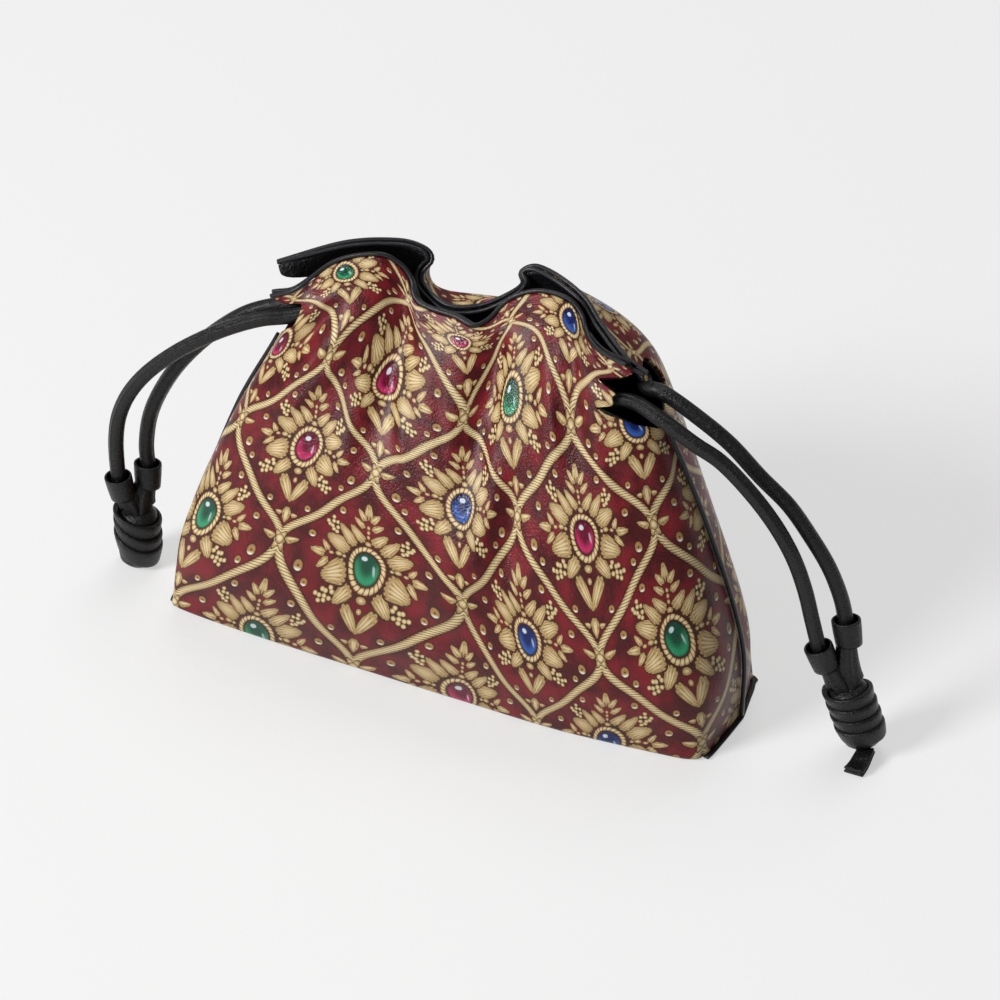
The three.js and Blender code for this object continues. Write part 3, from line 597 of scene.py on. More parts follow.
def build_side_seam_edge(name, across, material):
    ups = np.linspace(SIDE_SEAM_FOOT, SLOT_BOTTOM, SIDE_SEAM_STEPS)
    foot = outer(FRONT, np.full_like(ups, across), ups)
    outward = -inward_on_seam(FRONT, np.full_like(ups, across), ups)
    half = SEAM_EDGE_WIDTH / 2
    rings = []
    for place, out in zip(foot, outward):
        corners = []
        for distance, aside in ((CLEARANCE, -half), (CLEARANCE, half), (SEAM_EDGE_PROUD, half),
                                (SEAM_EDGE_PROUD, -half)):
            corners.append(np.array([place[0], SEAM_SETBACK + aside, place[2]]) + out * distance)
        rings.append(rounded(corners))
    points, faces = rings_mesh(rings)
    make_piece(f"{name}_edge_strip", points, faces, material, [f"{name}_seam_edge"])


def build_base_seam_edge(name, end, material):
    shares = np.linspace(BASE_SEAM_START, 1, BASE_SEAM_STEPS)
    stops = [(FRONT, s) for s in shares] + [(BACK, s) for s in shares[-2::-1]]
    rings = []
    for side, share in stops:
        spot = np.array([end * share])
        foot = outer(side, spot, np.zeros(1))[0]
        direction = inward_on_seam(side, spot, np.zeros(1)) if share == 1 else inward(side, spot, np.zeros(1))
        outward = -direction[0] * (1, 1, 0)
        outward = outward / np.linalg.norm(outward)
        corners = []
        for out, top in ((0, BASE_SEAM_BOTTOM), (1, BASE_SEAM_BOTTOM), (1, 1), (0, 1)):
            corner = foot + outward * mix(-BASE_SEAM_TUCK, SEAM_EDGE_PROUD, out)
            corner[2] = top * (1 + BASE_SEAM_TILT * out) * BASE_SEAM_HEIGHT
            corners.append(corner)
        rings.append(rounded(corners))
    points, faces = rings_mesh(rings)
    make_piece(f"{name}_edge_strip", points, faces, material, [f"{name}_seam_edge"])


def channel_line(side, count=CHANNEL_STEPS + 1):
    """The middle of the drawstring all along its casing."""
    start = -1 + LEFT_SLOT + CHANNEL_END_INSET
    end = 1 - RIGHT_SLOT - CHANNEL_END_INSET
    across = mix(start, end, np.linspace(0, 1, count))
    level = np.full_like(across, CORD_LEVEL)
    return outer(side, across, level) + inward(side, across, level, WIDE_STEP) * CORD_INSET


def build_casing(side, material):
    """The bowed strip of lining leather that a drawstring runs in."""
    line = catmull(channel_line(side), np.linspace(0, 1, CASING_COLUMNS))
    along = unit(np.gradient(line, axis=0))
    upward = unit(np.cross(along, (0, -side["facing"], 0)) * -side["facing"])
    direction = unit(np.cross(upward, along) * -side["facing"])
    turns = CASING_TURNS[:, None, None]
    spoke = direction * np.cos(turns) + upward * np.sin(turns)
    points, faces = sheet_mesh(line + spoke * CASING_RADIUS, line + spoke * (CASING_RADIUS + CASING_WALL))
    name = side["name"]
    make_piece(f"{name}_cord_tunnel", points, faces, material, [f"{name}_cord_casing"])


# Drawstrings, knots and collars

CORD_STEPS = 420
CORD_SIDES = 48
CORD_BODY_SHARE = 0.93
CORD_SEAM_TURNS = (1.22, 1.92)
CORD_SEAM_WIDTH = 0.11
CORD_SEAM_HEIGHT = 0.12


def cord_path(side, left_route, right_route):
    """The drawstring's points from the left knot through its casing to the right knot."""
    left = np.array(left_route[::-1], float) * MILLI
    right = np.array(right_route, float) * MILLI
    return np.concatenate([left, channel_line(side), right])


def cord_ring():
    """A turned leather tube in section: nearly round, with the two ridges of its edges along one side."""
    angle = np.arange(CORD_SIDES) * 2 * np.pi / CORD_SIDES
    ridge = sum(np.exp(-(((angle - turn) / CORD_SEAM_WIDTH) ** 2)) for turn in CORD_SEAM_TURNS)
    radius = CORD_DIAMETER / 2 * (CORD_BODY_SHARE + CORD_SEAM_HEIGHT * ridge)
    return np.stack([np.cos(angle) * radius, np.sin(angle) * radius], -1)


def build_cord(side, left_route, right_route, material):
    """One drawstring from knot to knot. The collars are the pieces that are on it."""
    control = cord_path(side, left_route, right_route)
    path = even(control, np.linspace(0, 1, CORD_STEPS))
    points, faces = sweep_mesh(path, cord_ring())
    name = side["name"]
    cord = make_piece(f"{name}_cord", points, faces, material, [f"{name}_drawstring"])
    path[::3].tolist() + [path[-1].tolist()]


KNOT_STRAP_THICKNESS = 0.0024
KNOT_STRAP_LEAN = 0.2
KNOT_SEAT = 0.0004
KNOT_TURN_STEPS = 48
KNOT_CORE_ENDS = (0.03, 0.97)
KNOT_CORE_STEPS = 13
KNOT_CORE_SIDES = 24
NECK_DROP = 0.007
NECK_BEND = 0.55
NECK_RADII = (0.0036, 0.0052, 0.0066)
NECK_STEPS = 15
NECK_SIDES = 30
NECK_CREASES = 7
NECK_CREASE_DEPTH = 0.09


def build_neck(route, rise, knot_top, axis):
    """The bunched end of a drawstring from its sleeve down into the knot, creased along its length."""
    start = sleeve_place(route, rise)[0]
    share = np.linspace(0, 1, NECK_STEPS)
    path = catmull(np.array([start, mix(start, knot_top, NECK_BEND), knot_top - axis * NECK_DROP]), share)
    angle = np.arange(NECK_SIDES) * 2 * np.pi / NECK_SIDES
    crease = 1 + NECK_CREASE_DEPTH * np.cos(angle * NECK_CREASES)
    radius = np.interp(share, (0, 0.5, 1), NECK_RADII)
    return sweep_mesh(path, round_ring(1, NECK_SIDES) * crease[:, None], (0, 1, 0.1), radius)


def knot_core(foot, axis, side, ahead, height, radius):
    """The rounded barrel that the turns are wound round."""
    rings = []
    for share in np.linspace(0, 1, KNOT_CORE_STEPS):
        bulge = math.sqrt(max(0.0, 1 - (2 * share - 1) ** 6))
        spoke = round_ring(max(0.001, radius * (0.72 + 0.28 * bulge)), KNOT_CORE_SIDES)
        centre = foot + axis * height * mix(*KNOT_CORE_ENDS, share)
        rings.append(centre + spoke[:, :1] * side + spoke[:, 1:] * ahead)
    return rings_mesh(rings)


def build_knot(name, knot, strands, material):
    """Flat turns of leather wound round a core, each lapping over the one above, and the two necks."""
    top = np.array(knot["top"], float) * MILLI
    foot = np.array(knot["foot"], float) * MILLI
    axis = unit(top - foot)
    height = np.linalg.norm(top - foot)
    side = unit(np.cross(axis, (0.0, 1.0, 0.0)))
    ahead = np.cross(axis, side)
    radius = KNOT_DIAMETER / 2 - KNOT_STRAP_THICKNESS / 2 - KNOT_SEAT
    steps = KNOT_TURN_STEPS * knot["turns"]
    half = knot["strap"] / 2
    rings = []
    for i in range(steps + 1):
        share = i / steps
        angle = -2 * np.pi * knot["turns"] * share
        spoke = side * np.cos(angle) + ahead * np.sin(angle)
        slant = knot["slant"] * np.cos(angle) * np.sin(np.pi * share) ** 0.5
        level = min(max(mix(half, height - half, share) + slant, half), height - half)
        centre = foot + axis * level + spoke * radius
        wide = unit(axis + spoke * KNOT_STRAP_LEAN)
        thick = unit(spoke - axis * KNOT_STRAP_LEAN)
        corners = [centre + wide * w * half + thick * t * KNOT_STRAP_THICKNESS / 2
                   for w, t in ((-1, -1), (1, -1), (1, 1), (-1, 1))]
        rings.append(rounded(corners, steps=4, share=0.32))
    core = knot_core(foot, axis, side, ahead, height, radius - KNOT_SEAT / 2)
    shells = [rings_mesh(rings), core] + [build_neck(*strand, top, axis) for strand in strands]
    points, faces = joined(shells)
    return make_piece(name, points, faces, material, [name.replace("_wraps", "")])


def joined(shells):
    """Several closed shells as one list of points and one of faces."""
    points = []
    faces = []
    for shell_points, shell_faces in shells:
        faces += [[i + len(points) for i in face] for face in shell_faces]
        points += list(shell_points)
    return np.array(points), faces


SLEEVE_SAMPLES = 600
SLEEVE_LOOK_AHEAD = 0.001


def sleeve_place(route, rise):
    """The middle of a sleeve and the direction up its drawstring."""
    strand = np.array(route, float) * MILLI
    fine = catmull(strand, np.linspace(0, 1, SLEEVE_SAMPLES))
    lengths = travelled(fine)
    at = lengths[-1] - rise
    foot = np.array([np.interp(at, lengths, fine[:, k]) for k in range(3)])
    ahead = np.array([np.interp(at + SLEEVE_LOOK_AHEAD, lengths, fine[:, k]) for k in range(3)])
    return foot, -unit(ahead - foot)


SLEEVE_HEIGHT = 0.0122
SLEEVE_WALL = 0.0012
SLEEVE_FOOT_RADIUS = 0.0059
SLEEVE_TOP_RADIUS = 0.0065
SLEEVE_OVAL = 0.06
SLEEVE_SIDES = 48


def build_sleeve(name, route, rise, material):
    """A short loose sleeve round a drawstring: a turn of the same leather with a rounded lip."""
    middle, axis = sleeve_place(route, rise)
    side = unit(np.cross(axis, (0.0, 1.0, 0.1)))
    front = np.cross(axis, side)
    lip = SLEEVE_WALL / 2
    turn = np.linspace(0, np.pi, 7)
    height = np.linspace(0, 1, 9)
    outside = SLEEVE_FOOT_RADIUS + (SLEEVE_TOP_RADIUS - SLEEVE_FOOT_RADIUS) * np.sin(height * np.pi / 2)
    lip_radius = outside[-1] - lip + lip * np.cos(turn[1:-1])
    lip_level = 1 + lip * np.sin(turn[1:-1]) / SLEEVE_HEIGHT
    radius = np.concatenate([outside, lip_radius, outside[::-1] - SLEEVE_WALL])
    level = np.concatenate([height, lip_level, height[::-1]]) - 0.5
    rings = []
    for angle in np.arange(SLEEVE_SIDES) * 2 * np.pi / SLEEVE_SIDES:
        spoke = side * np.cos(angle) * (1 + SLEEVE_OVAL) + front * np.sin(angle) * (1 - SLEEVE_OVAL)
        rings.append(middle + axis * level[:, None] * SLEEVE_HEIGHT + spoke * radius[:, None])
    count = len(radius)
    points = np.concatenate(rings)
    faces = []
    for t in range(SLEEVE_SIDES):
        row = t * count
        following = (t + 1) % SLEEVE_SIDES * count
        for k in range(count):
            faces.append([row + k, row + (k + 1) % count, following + (k + 1) % count, following + k])
    faces = turned_out(points, faces)
    return make_piece(f"{name}_sleeve", points, faces, material, [name])


TAIL_WIDTHS = (0.0086, 0.0092)
TAIL_LAYER = 0.0013
TAIL_PARTING = 0.0012
TAIL_STEPS = 25


def build_tail(material):
    """The doubled cut end of the drawstring, its two layers parting a little at the cut."""
    axis = unit(np.array(RIGHT_KNOT["top"], float) - np.array(RIGHT_KNOT["foot"], float))
    under = np.array([axis[2], 0, -axis[0]])
    path = even(np.array(TAIL_ROUTE, float) * MILLI, np.linspace(0, 1, TAIL_STEPS))
    layers = []
    for lift in (-1, 1):
        rings = []
        for i, centre in enumerate(path):
            share = i / (len(path) - 1)
            wide = unit(mix(under, np.array([1.0, 0, 0]), share)) * mix(*TAIL_WIDTHS, share) / 2
            square = unit(mix(axis, np.array([0, 0, 1.0]), share))
            layer = centre + square * lift * (TAIL_LAYER / 2 + 0.0001 + TAIL_PARTING / 4 * share**2)
            corners = [layer + wide * w + square * TAIL_LAYER / 2 * t
                       for w, t in ((-1, -1), (1, -1), (1, 1), (-1, 1))]
            rings.append(rounded(corners, share=0.2))
        layers.append(rings_mesh(rings))
    points, faces = joined(layers)
    return make_piece("right_knot_cut_end", points, faces, material, ["right_knot_tail"])


# Shader building: terms are numbers or vectors that vary over a surface

class Term:
    """A value in a shader's tree. Arithmetic on it adds Math nodes to that tree."""

    def __init__(self, tree, socket):
        self.tree = tree
        self.socket = socket

    def __add__(self, other):
        return math_node("ADD", self, other)

    def __sub__(self, other):
        return math_node("SUBTRACT", self, other)

    def __rsub__(self, other):
        return math_node("SUBTRACT", other, self)

    def __mul__(self, other):
        return math_node("MULTIPLY", self, other)

    def __truediv__(self, other):
        return math_node("DIVIDE", self, other)

    def __abs__(self):
        return math_node("ABSOLUTE", self)

    __radd__ = __add__
    __rmul__ = __mul__


def feed(tree, socket, value):
    """Links a term to an input, or sets the input to a plain value."""
    if isinstance(value, Term):
        tree.links.new(value.socket, socket)
    else:
        socket.default_value = value


def tree_of(*values):
    return next(value.tree for value in values if isinstance(value, Term))


def math_node(operation, *values):
    tree = tree_of(*values)
    node = tree.nodes.new("ShaderNodeMath")
    node.operation = operation
    for socket, value in zip(node.inputs, values):
        feed(tree, socket, value)
    return Term(tree, node.outputs[0])


def blend_terms(share, low, high):
    """Low where share is 0 and high where it is 1."""
    tree = tree_of(share, low, high)
    node = tree.nodes.new("ShaderNodeMix")
    feed(tree, node.inputs[0], share)
    feed(tree, node.inputs[2], low)
    feed(tree, node.inputs[3], high)
    return Term(tree, node.outputs[0])


def blend_colours(share, low, high):
    tree = tree_of(share, low, high)
    node = tree.nodes.new("ShaderNodeMix")
    node.data_type = "RGBA"
    feed(tree, node.inputs[0], share)
    feed(tree, node.inputs[6], low)
    feed(tree, node.inputs[7], high)
    return Term(tree, node.outputs[2])


def smooth_step(low, high, value):
    node = value.tree.nodes.new("ShaderNodeMapRange")
    node.interpolation_type = "SMOOTHSTEP"
    feed(value.tree, node.inputs["Value"], value)
    node.inputs["From Min"].default_value = low
    node.inputs["From Max"].default_value = high
    return Term(value.tree, node.outputs[0])


def above(value, edge):
    return math_node("GREATER_THAN", value, edge)


def larger(a, b):
    return math_node("MAXIMUM", a, b)


def smaller(a, b):
    return math_node("MINIMUM", a, b)


def to_cell(value):
    """The distance from the nearest whole pair, from -1 to 1."""
    return value - math_node("ROUND", value * 0.5) * 2


def split(vector):
    node = vector.tree.nodes.new("ShaderNodeSeparateXYZ")
    feed(vector.tree, node.inputs[0], vector)
    return [Term(vector.tree, output) for output in node.outputs]


def join(x, y):
    tree = tree_of(x, y)
    node = tree.nodes.new("ShaderNodeCombineXYZ")
    feed(tree, node.inputs[0], x)
    feed(tree, node.inputs[1], y)
    return Term(tree, node.outputs[0])


def seen_from(vector, centre, turn, size):
    """The place as a form at centre sees it: along it and across it, as shares of its half sizes."""
    node = vector.tree.nodes.new("ShaderNodeMapping")
    node.vector_type = "TEXTURE"
    feed(vector.tree, node.inputs["Vector"], vector)
    node.inputs["Location"].default_value = (*centre, 0)
    node.inputs["Rotation"].default_value = (0, 0, math.radians(turn))
    node.inputs["Scale"].default_value = (*size, 1)
    return Term(vector.tree, node.outputs[0])


def length(vector):
    node = vector.tree.nodes.new("ShaderNodeVectorMath")
    node.operation = "LENGTH"
    feed(vector.tree, node.inputs[0], vector)
    return Term(vector.tree, node.outputs["Value"])


def texture(tree, kind, vector, **settings):
    node = tree.nodes.new(kind)
    feed(tree, node.inputs["Vector"], vector)
    for key, value in settings.items():
        if key in node.bl_rna.properties:
            setattr(node, key, value)
        else:
            node.inputs[key].default_value = value
    return node


def colour_ramp(value, stops):
    """A ramp of screen colours, each at its place."""
    node = value.tree.nodes.new("ShaderNodeValToRGB")
    feed(value.tree, node.inputs[0], value)
    elements = node.color_ramp.elements
    while len(elements) < len(stops):
        elements.new(0.5)
    for element, (place, colour) in zip(elements, stops):
        element.position = place
        element.color = paint(*colour)
    return Term(value.tree, node.outputs[0])


def linear(part):
    """A screen value from 0 to 255 as the linear value that a shader takes."""
    return ((part / 255 + 0.055) / 1.055) ** 2.4 if part > 10 else part / 3295


def paint(red, green, blue):
    return linear(red), linear(green), linear(blue), 1


def new_group(name, inputs, outputs):
    """An empty node group. Inputs are (name, kind, value) and outputs (name, kind)."""
    tree = bpy.data.node_groups.new(name, "ShaderNodeTree")
    for label, kind, value in inputs:
        socket = tree.interface.new_socket(label, in_out="INPUT", socket_type=kind)
        if value is not None:
            socket.default_value = value
    for label, kind in outputs:
        tree.interface.new_socket(label, in_out="OUTPUT", socket_type=kind)
    given = tree.nodes.new("NodeGroupInput")
    result = tree.nodes.new("NodeGroupOutput")
    entries = {label: Term(tree, given.outputs[label]) for label, kind, value in inputs}
    return tree, entries, result


# The print: gold ropes in a pointed trellis, a jewelled flower in each opening, studs between. Its sizes are
# in units of its own, each a little under a millimetre on the front.

COLUMN_WIDTH = 45.0
LEVEL_HEIGHT = 51.0
ROPE_HALF_WIDTH = 2.25
ROPE_TWIST = 2.0
ROPE_SLANT = 9.0
ROPE_GROOVE = 0.84
ROPE_SWING = 0.15
ROPE_BULGE = 0.028
ROPE_KINK = 0.026
CROSSING_PETALS = 6
CROSSING_RADIUS = 4.4
CROSSING_LOBE = 1.2
CROSSING_BUTTON = 2.4
# A stone's half sizes, and the shares of them between which the wire of its setting runs
GEM_SIZE = (6.2, 7.3)
BEZEL = (1.06, 1.46)
BEZEL_STRANDS = 24
BEZEL_GROOVE = 0.8
SETTING_SHADE = 0.08
BEAD_SPACING = 2.3
RIB_DEPTH = 0.26
RIB_LEVEL = 0.78
LEAF_TAPER = 0.45
FLOWER_SHADE = 0.17
FLOWER_REACH = (90.0, 88.0)

# Its paints. Gold goes from the dark line round a form, up over its flank and a fine dark line, to its top.
GOLD_STOPS = [
    (0.0, (36, 14, 8)), (0.14, (78, 46, 24)), (0.24, (178, 146, 92)), (0.33, (204, 176, 122)),
    (0.4, (138, 98, 52)), (0.48, (194, 164, 112)), (0.98, (236, 216, 170)),
]
GROUND_DEEP = (72, 5, 10)
GROUND_BRIGHT = (126, 22, 32)
GROUND_SHADE = (38, 6, 8)
STUD_GOLD = (172, 132, 78)
STUD_LIGHT = (252, 244, 220)
STUD_RIM = (84, 52, 30)
STUD_DOT = (66, 38, 24)
GEMS_DEEP = [(8, 74, 50), (104, 6, 42), (8, 26, 92)]
GEMS_BRIGHT = [(44, 152, 104), (196, 44, 100), (46, 92, 176)]
GEM_LIGHT = (225, 238, 245)
GEM_SHADE = (10, 6, 9)

# Each leaf or petal: centre, turn from the flower's right, half length and half width, and its ribs
LEAVES = [
    ((0, 29.8), 90, (5.0, 2.4), 9), ((3.5, 27.4), 52, (3.9, 1.8), 9), ((4.8, 22.8), 38, (4.0, 1.7), 9),
    ((5.8, 16.6), 46, (5.9, 2.7), 14),
    ((25.0, 0.4), 0, (4.4, 2.1), 9), ((21.4, 4.6), 56, (3.6, 1.6), 9), ((21.6, -3.6), -40, (3.6, 1.6), 9),
    ((15.4, 8.4), 26, (7.4, 4.7), 24), ((10.9, 14.2), 50, (7.5, 2.9), 16),
    ((3.5, -22.8), -119, (8.6, 2.9), 12),
    ((9.4, -13.2), -52, (6.0, 3.5), 18), ((15.2, -5.8), -18, (6.9, 5.0), 24),
    ((0, -37.0), -90, (5.0, 2.4), 9), ((4.4, -36.2), 10, (2.0, 1.3), 5),
]
CLUSTERS = [((18.4, 17.6), 45, (4.9, 3.2)), ((17.0, -15.2), -40, (5.4, 3.6))]
BEADS = [
    ((0, 12.4), (1.9, 1.6)), ((0, 16.2), (1.0, 1.3)), ((0, 18.8), (1.0, 1.3)), ((0, 21.4), (1.0, 1.3)),
    ((14.4, 1.9), (2.1, 1.5)), ((11.6, 1.4), (1.2, 1.1)), ((18.2, 1.2), (1.5, 1.1)),
    ((0, -12.8), (2.7, 1.9)), ((0, -17.6), (1.4, 1.7)),
]
STUDS = [((32.5, -7.4), 2.4), ((27.7, -13), 1.8), ((29.2, 8.8), 2.1), ((14.4, 26.4), 2.0), ((10.9, -30), 1.8)]


def leaf_height(place, centre, turn, size, ribs):
    """From 0 at a leaf's edge to 1 on its middle, less in the grooves between its ribs."""
    along, across, _ = split(seen_from(place, centre, turn, size))
    narrowed = across * (along * LEAF_TAPER + 1)
    groove = math_node("SINE", narrowed * ribs)
    return (1 - along * along - narrowed * narrowed) * (groove * RIB_DEPTH + RIB_LEVEL)


def over(below, height):
    """Lays one form over another. Its own height counts wherever it is above the leather."""
    return blend_terms(above(height, 0), below, height)


def flower_height(place):
    """Bead clusters lie lowest, then leaves and petals, and single beads on top."""
    beads = texture(place.tree, "ShaderNodeTexVoronoi", place, voronoi_dimensions="2D",
                    Scale=1 / BEAD_SPACING, Randomness=0.45)
    bead = Term(place.tree, beads.outputs["Distance"])
    bead_place = Term(place.tree, beads.outputs["Position"])
    bead_height = larger(1 - bead * bead * 3.5, 0.07)
    height = larger(FLOWER_SHADE - length(seen_from(place, (0, 0), 0, FLOWER_REACH)), 0)
    for centre, turn, size in CLUSTERS:
        inside = math_node("LESS_THAN", length(seen_from(bead_place, centre, turn, size)), 1)
        height = blend_terms(inside, height, bead_height)
    for centre, turn, size, ribs in LEAVES:
        height = over(height, leaf_height(place, centre, turn, size, ribs))
    for centre, size in BEADS:
        height = over(height, 1 - length(seen_from(place, centre, 0, size)))
    return height


def rope_forms(near_x, near_y):
    """How far off the rope's line, in its half widths, how high the twisted rope, and where its inside is."""
    level = abs(near_y)
    turn = level * math.pi
    line = (math_node("COSINE", turn) + 1) * ROPE_SWING + (1 - level) * (1 - 2 * ROPE_SWING)
    line = line + math_node("SINE", turn * 2) * ROPE_BULGE + math_node("SINE", turn * 4) * ROPE_KINK
    slope = math_node("SINE", turn) * (math.pi * ROPE_SWING) + (1 - 2 * ROPE_SWING)
    slope = slope - math_node("COSINE", turn * 2) * (2 * math.pi * ROPE_BULGE)
    slope = slope - math_node("COSINE", turn * 4) * (4 * math.pi * ROPE_KINK)
    off_rope = abs(near_x) - line
    inside = math_node("LESS_THAN", off_rope, 0)
    steep = math_node("SQRT", slope * slope * (COLUMN_WIDTH / LEVEL_HEIGHT) ** 2 + 1)
    from_rope = off_rope * COLUMN_WIDTH / steep / ROPE_HALF_WIDTH
    along = level * (LEVEL_HEIGHT * 0.76) + (1 - line) * (COLUMN_WIDTH * 0.65)
    along = along - off_rope * slope / steep * (COLUMN_WIDTH**2 / LEVEL_HEIGHT)
    strands = math_node("SINE", along * (2 * math.pi / ROPE_TWIST) + from_rope * ROPE_SLANT)
    height = (1 - from_rope * from_rope) * (1 - smooth_step(0.3, 1.0, strands) * ROPE_GROOVE)
    return from_rope, height, inside


def crossing_height(cell_x, cell_y):
    """The small rosette, with a leaf on each side, that ties two ropes where they touch."""
    u = cell_x * COLUMN_WIDTH
    v = cell_y * LEVEL_HEIGHT
    beside = join((abs(cell_x) - 1) * COLUMN_WIDTH, v)
    below = join(u, (abs(cell_y) - 1) * LEVEL_HEIGHT)
    nearer = math_node("LESS_THAN", length(beside), length(below))
    knot_u, knot_v, _ = split(beside)
    other_u, other_v, _ = split(below)
    knot_u = blend_terms(nearer, other_u, knot_u)
    knot_v = blend_terms(nearer, other_v, knot_v)
    place = join(abs(knot_u), knot_v)
    far = length(place)
    turn = math_node("ARCTAN2", knot_v, knot_u)
    petals = 1 - far / (math_node("COSINE", turn * CROSSING_PETALS) * CROSSING_LOBE + CROSSING_RADIUS)
    height = over(petals * 1.7, leaf_height(place, (6.4, 1.2), 20, (4.2, 1.8), 5))
    return over(height, (1 - far / CROSSING_BUTTON) * 1.6)


def stud_forms(place):
    """How high the nearest stud stands, and its own paint: a lit rim round a dark middle."""
    nearest = None
    for centre, radius in STUDS:
        from_stud = seen_from(place, centre, 0, (radius, radius))
        far = length(from_stud)
        up = split(from_stud)[1]
        if nearest is None:
            nearest, lift = far, up
        else:
            lift = blend_terms(math_node("LESS_THAN", far, nearest), lift, up)
            nearest = smaller(far, nearest)
    height = 1 - nearest
    dish = smooth_step(0.1, 0.3, nearest)
    shine = smooth_step(0.15, 0.8, 0 - lift) * dish
    gold = blend_colours(shine, paint(*STUD_GOLD), paint(*STUD_LIGHT))
    gold = blend_colours(smooth_step(0.0, 0.22, height), paint(*STUD_RIM), gold)
    return height, blend_colours(dish, paint(*STUD_DOT), gold)


def bezel_height(far, turn):
    """The twisted wire that holds a stone."""
    middle = (BEZEL[0] + BEZEL[1]) / 2
    half = (BEZEL[1] - BEZEL[0]) / 2
    off = (far - middle) / half
    strands = math_node("SINE", turn * BEZEL_STRANDS + off * 1.8)
    return (1 - off * off) * (1 - smooth_step(0.2, 1.0, strands) * BEZEL_GROOVE)


def gem_kind(column, level):
    """0 for emerald, 1 for ruby and 2 for sapphire, by the flower's place in the trellis."""
    row = math_node("FLOOR", level * 0.5 + 0.01)
    odd_row = math_node("ABSOLUTE", math_node("MODULO", row, 2))
    kind = larger(math_node("FLOOR", column * (2 / 3) + 0.01), 0) + odd_row * (above(column, 3.5) + 1)
    return math_node("MODULO", kind + 0.1, 3)


def gem_colour(kind, stones):
    emerald, ruby, sapphire = stones
    colour = blend_colours(above(kind, 0.5), paint(*emerald), paint(*ruby))
    return blend_colours(above(kind, 1.5), colour, paint(*sapphire))


def gem_paint(place, far, kind):
    """A domed stone: deep above, lit through below, with the light of a window and a streak on it."""
    along, up, _ = split(place)
    glow = smooth_step(-0.3, 1.0, abs(along) * 0.5 - up) * smooth_step(0.2, 0.75, far)
    stone = blend_colours(glow, gem_colour(kind, GEMS_DEEP), gem_colour(kind, GEMS_BRIGHT))
    window = 1 - length(seen_from(place, (-0.22, 0.48), 12, (0.3, 0.22)))
    streak = 1 - length(seen_from(place, (0.56, -0.16), 12, (0.13, 0.36)))
    shine = larger(smooth_step(0.0, 0.35, window) * 0.85, smooth_step(0.0, 0.6, streak) * 0.5)
    stone = blend_colours(shine, stone, paint(*GEM_LIGHT))
    return blend_colours(smooth_step(0.84, 1.0, far) * 0.85, stone, paint(*GEM_SHADE))


def ground_paint(place, shade):
    """Maroon leather with a slow mottle, darker round the gold."""
    mottle = texture(place.tree, "ShaderNodeTexNoise", place, Scale=3.2, Detail=3.0)
    mottle = smooth_step(0.35, 0.68, Term(place.tree, mottle.outputs[0]))
    ground = blend_colours(mottle, paint(*GROUND_DEEP), paint(*GROUND_BRIGHT))
    return blend_colours(shade * 0.6, ground, paint(*GROUND_SHADE))


def build_print_group():
    """The print's colour at a place, and where a stone is. Whole places with an even sum hold the flowers."""
    tree, given, result = new_group("jewelled_trellis", [("Place", "NodeSocketVector", None)], [
        ("Color", "NodeSocketColor"), ("Gem", "NodeSocketFloat")])
    x, y, _ = split(given["Place"])
    near_x = to_cell(x)
    near_y = to_cell(y)
    from_rope, rope_height, inside = rope_forms(near_x, near_y)
    cell_x = blend_terms(inside, to_cell(x - 1), near_x)
    cell_y = blend_terms(inside, to_cell(y - 1), near_y)
    u = cell_x * COLUMN_WIDTH
    v = cell_y * LEVEL_HEIGHT
    place = join(abs(u), v)
    gem_place = seen_from(join(u, v), (0, 0), 0, GEM_SIZE)
    gem_far = length(gem_place)

    setting = math_node("LESS_THAN", gem_far, BEZEL[1] + SETTING_SHADE)
    bezel = bezel_height(gem_far, math_node("ARCTAN2", v, u))
    flower = blend_terms(setting, flower_height(place), larger(bezel, 0.02))
    trellis = over(larger(rope_height, 0), crossing_height(cell_x, cell_y))
    stud_height, stud_paint = stud_forms(place)
    gold_height = larger(larger(flower, trellis), stud_height)
    gold_paint = colour_ramp(gold_height, GOLD_STOPS)
    gold_paint = blend_colours(above(stud_height, 0), gold_paint, stud_paint)

    shade = smooth_step(-0.5, 0.0, larger(larger(stud_height, 1 - abs(from_rope)), -0.5))
    ground = ground_paint(given["Place"], shade)
    colour = blend_colours(smooth_step(0.0, 0.05, gold_height), ground, gold_paint)
    gem = 1 - smooth_step(0.97, 1.03, gem_far)
    stone = gem_paint(gem_place, gem_far, gem_kind(x - cell_x, y - cell_y))
    feed(tree, result.inputs["Color"], blend_colours(gem, colour, stone))
    feed(tree, result.inputs["Gem"], gem)
    return tree


def build_grain_group():
    """Pebbled leather: small cells with soft valleys, and finer creases."""
    tree, given, result = new_group("pebbled_leather", [
        ("Place", "NodeSocketVector", None), ("Pebbles", "NodeSocketFloat", 900.0)],
        [("Height", "NodeSocketFloat"), ("Tone", "NodeSocketFloat")])
    pebbles = texture(tree, "ShaderNodeTexVoronoi", given["Place"], feature="F1")
    feed(tree, pebbles.inputs["Scale"], given["Pebbles"])
    creases = texture(tree, "ShaderNodeTexNoise", given["Place"], Detail=4.0, Roughness=0.6, Distortion=0.6)
    feed(tree, creases.inputs["Scale"], given["Pebbles"] * 0.35)
    broad = texture(tree, "ShaderNodeTexNoise", given["Place"], Scale=38.0, Detail=2.0)
    cells = 1 - Term(tree, pebbles.outputs["Distance"]) * 1.4
    fine = abs(Term(tree, creases.outputs[0]) - 0.5) * 2.4
    height = cells * 0.6 + smaller(fine, 0.5)
    tone = smooth_step(0.3, 0.7, Term(tree, broad.outputs[0]))
    feed(tree, result.inputs["Height"], height)
    feed(tree, result.inputs["Tone"], tone)
    return tree


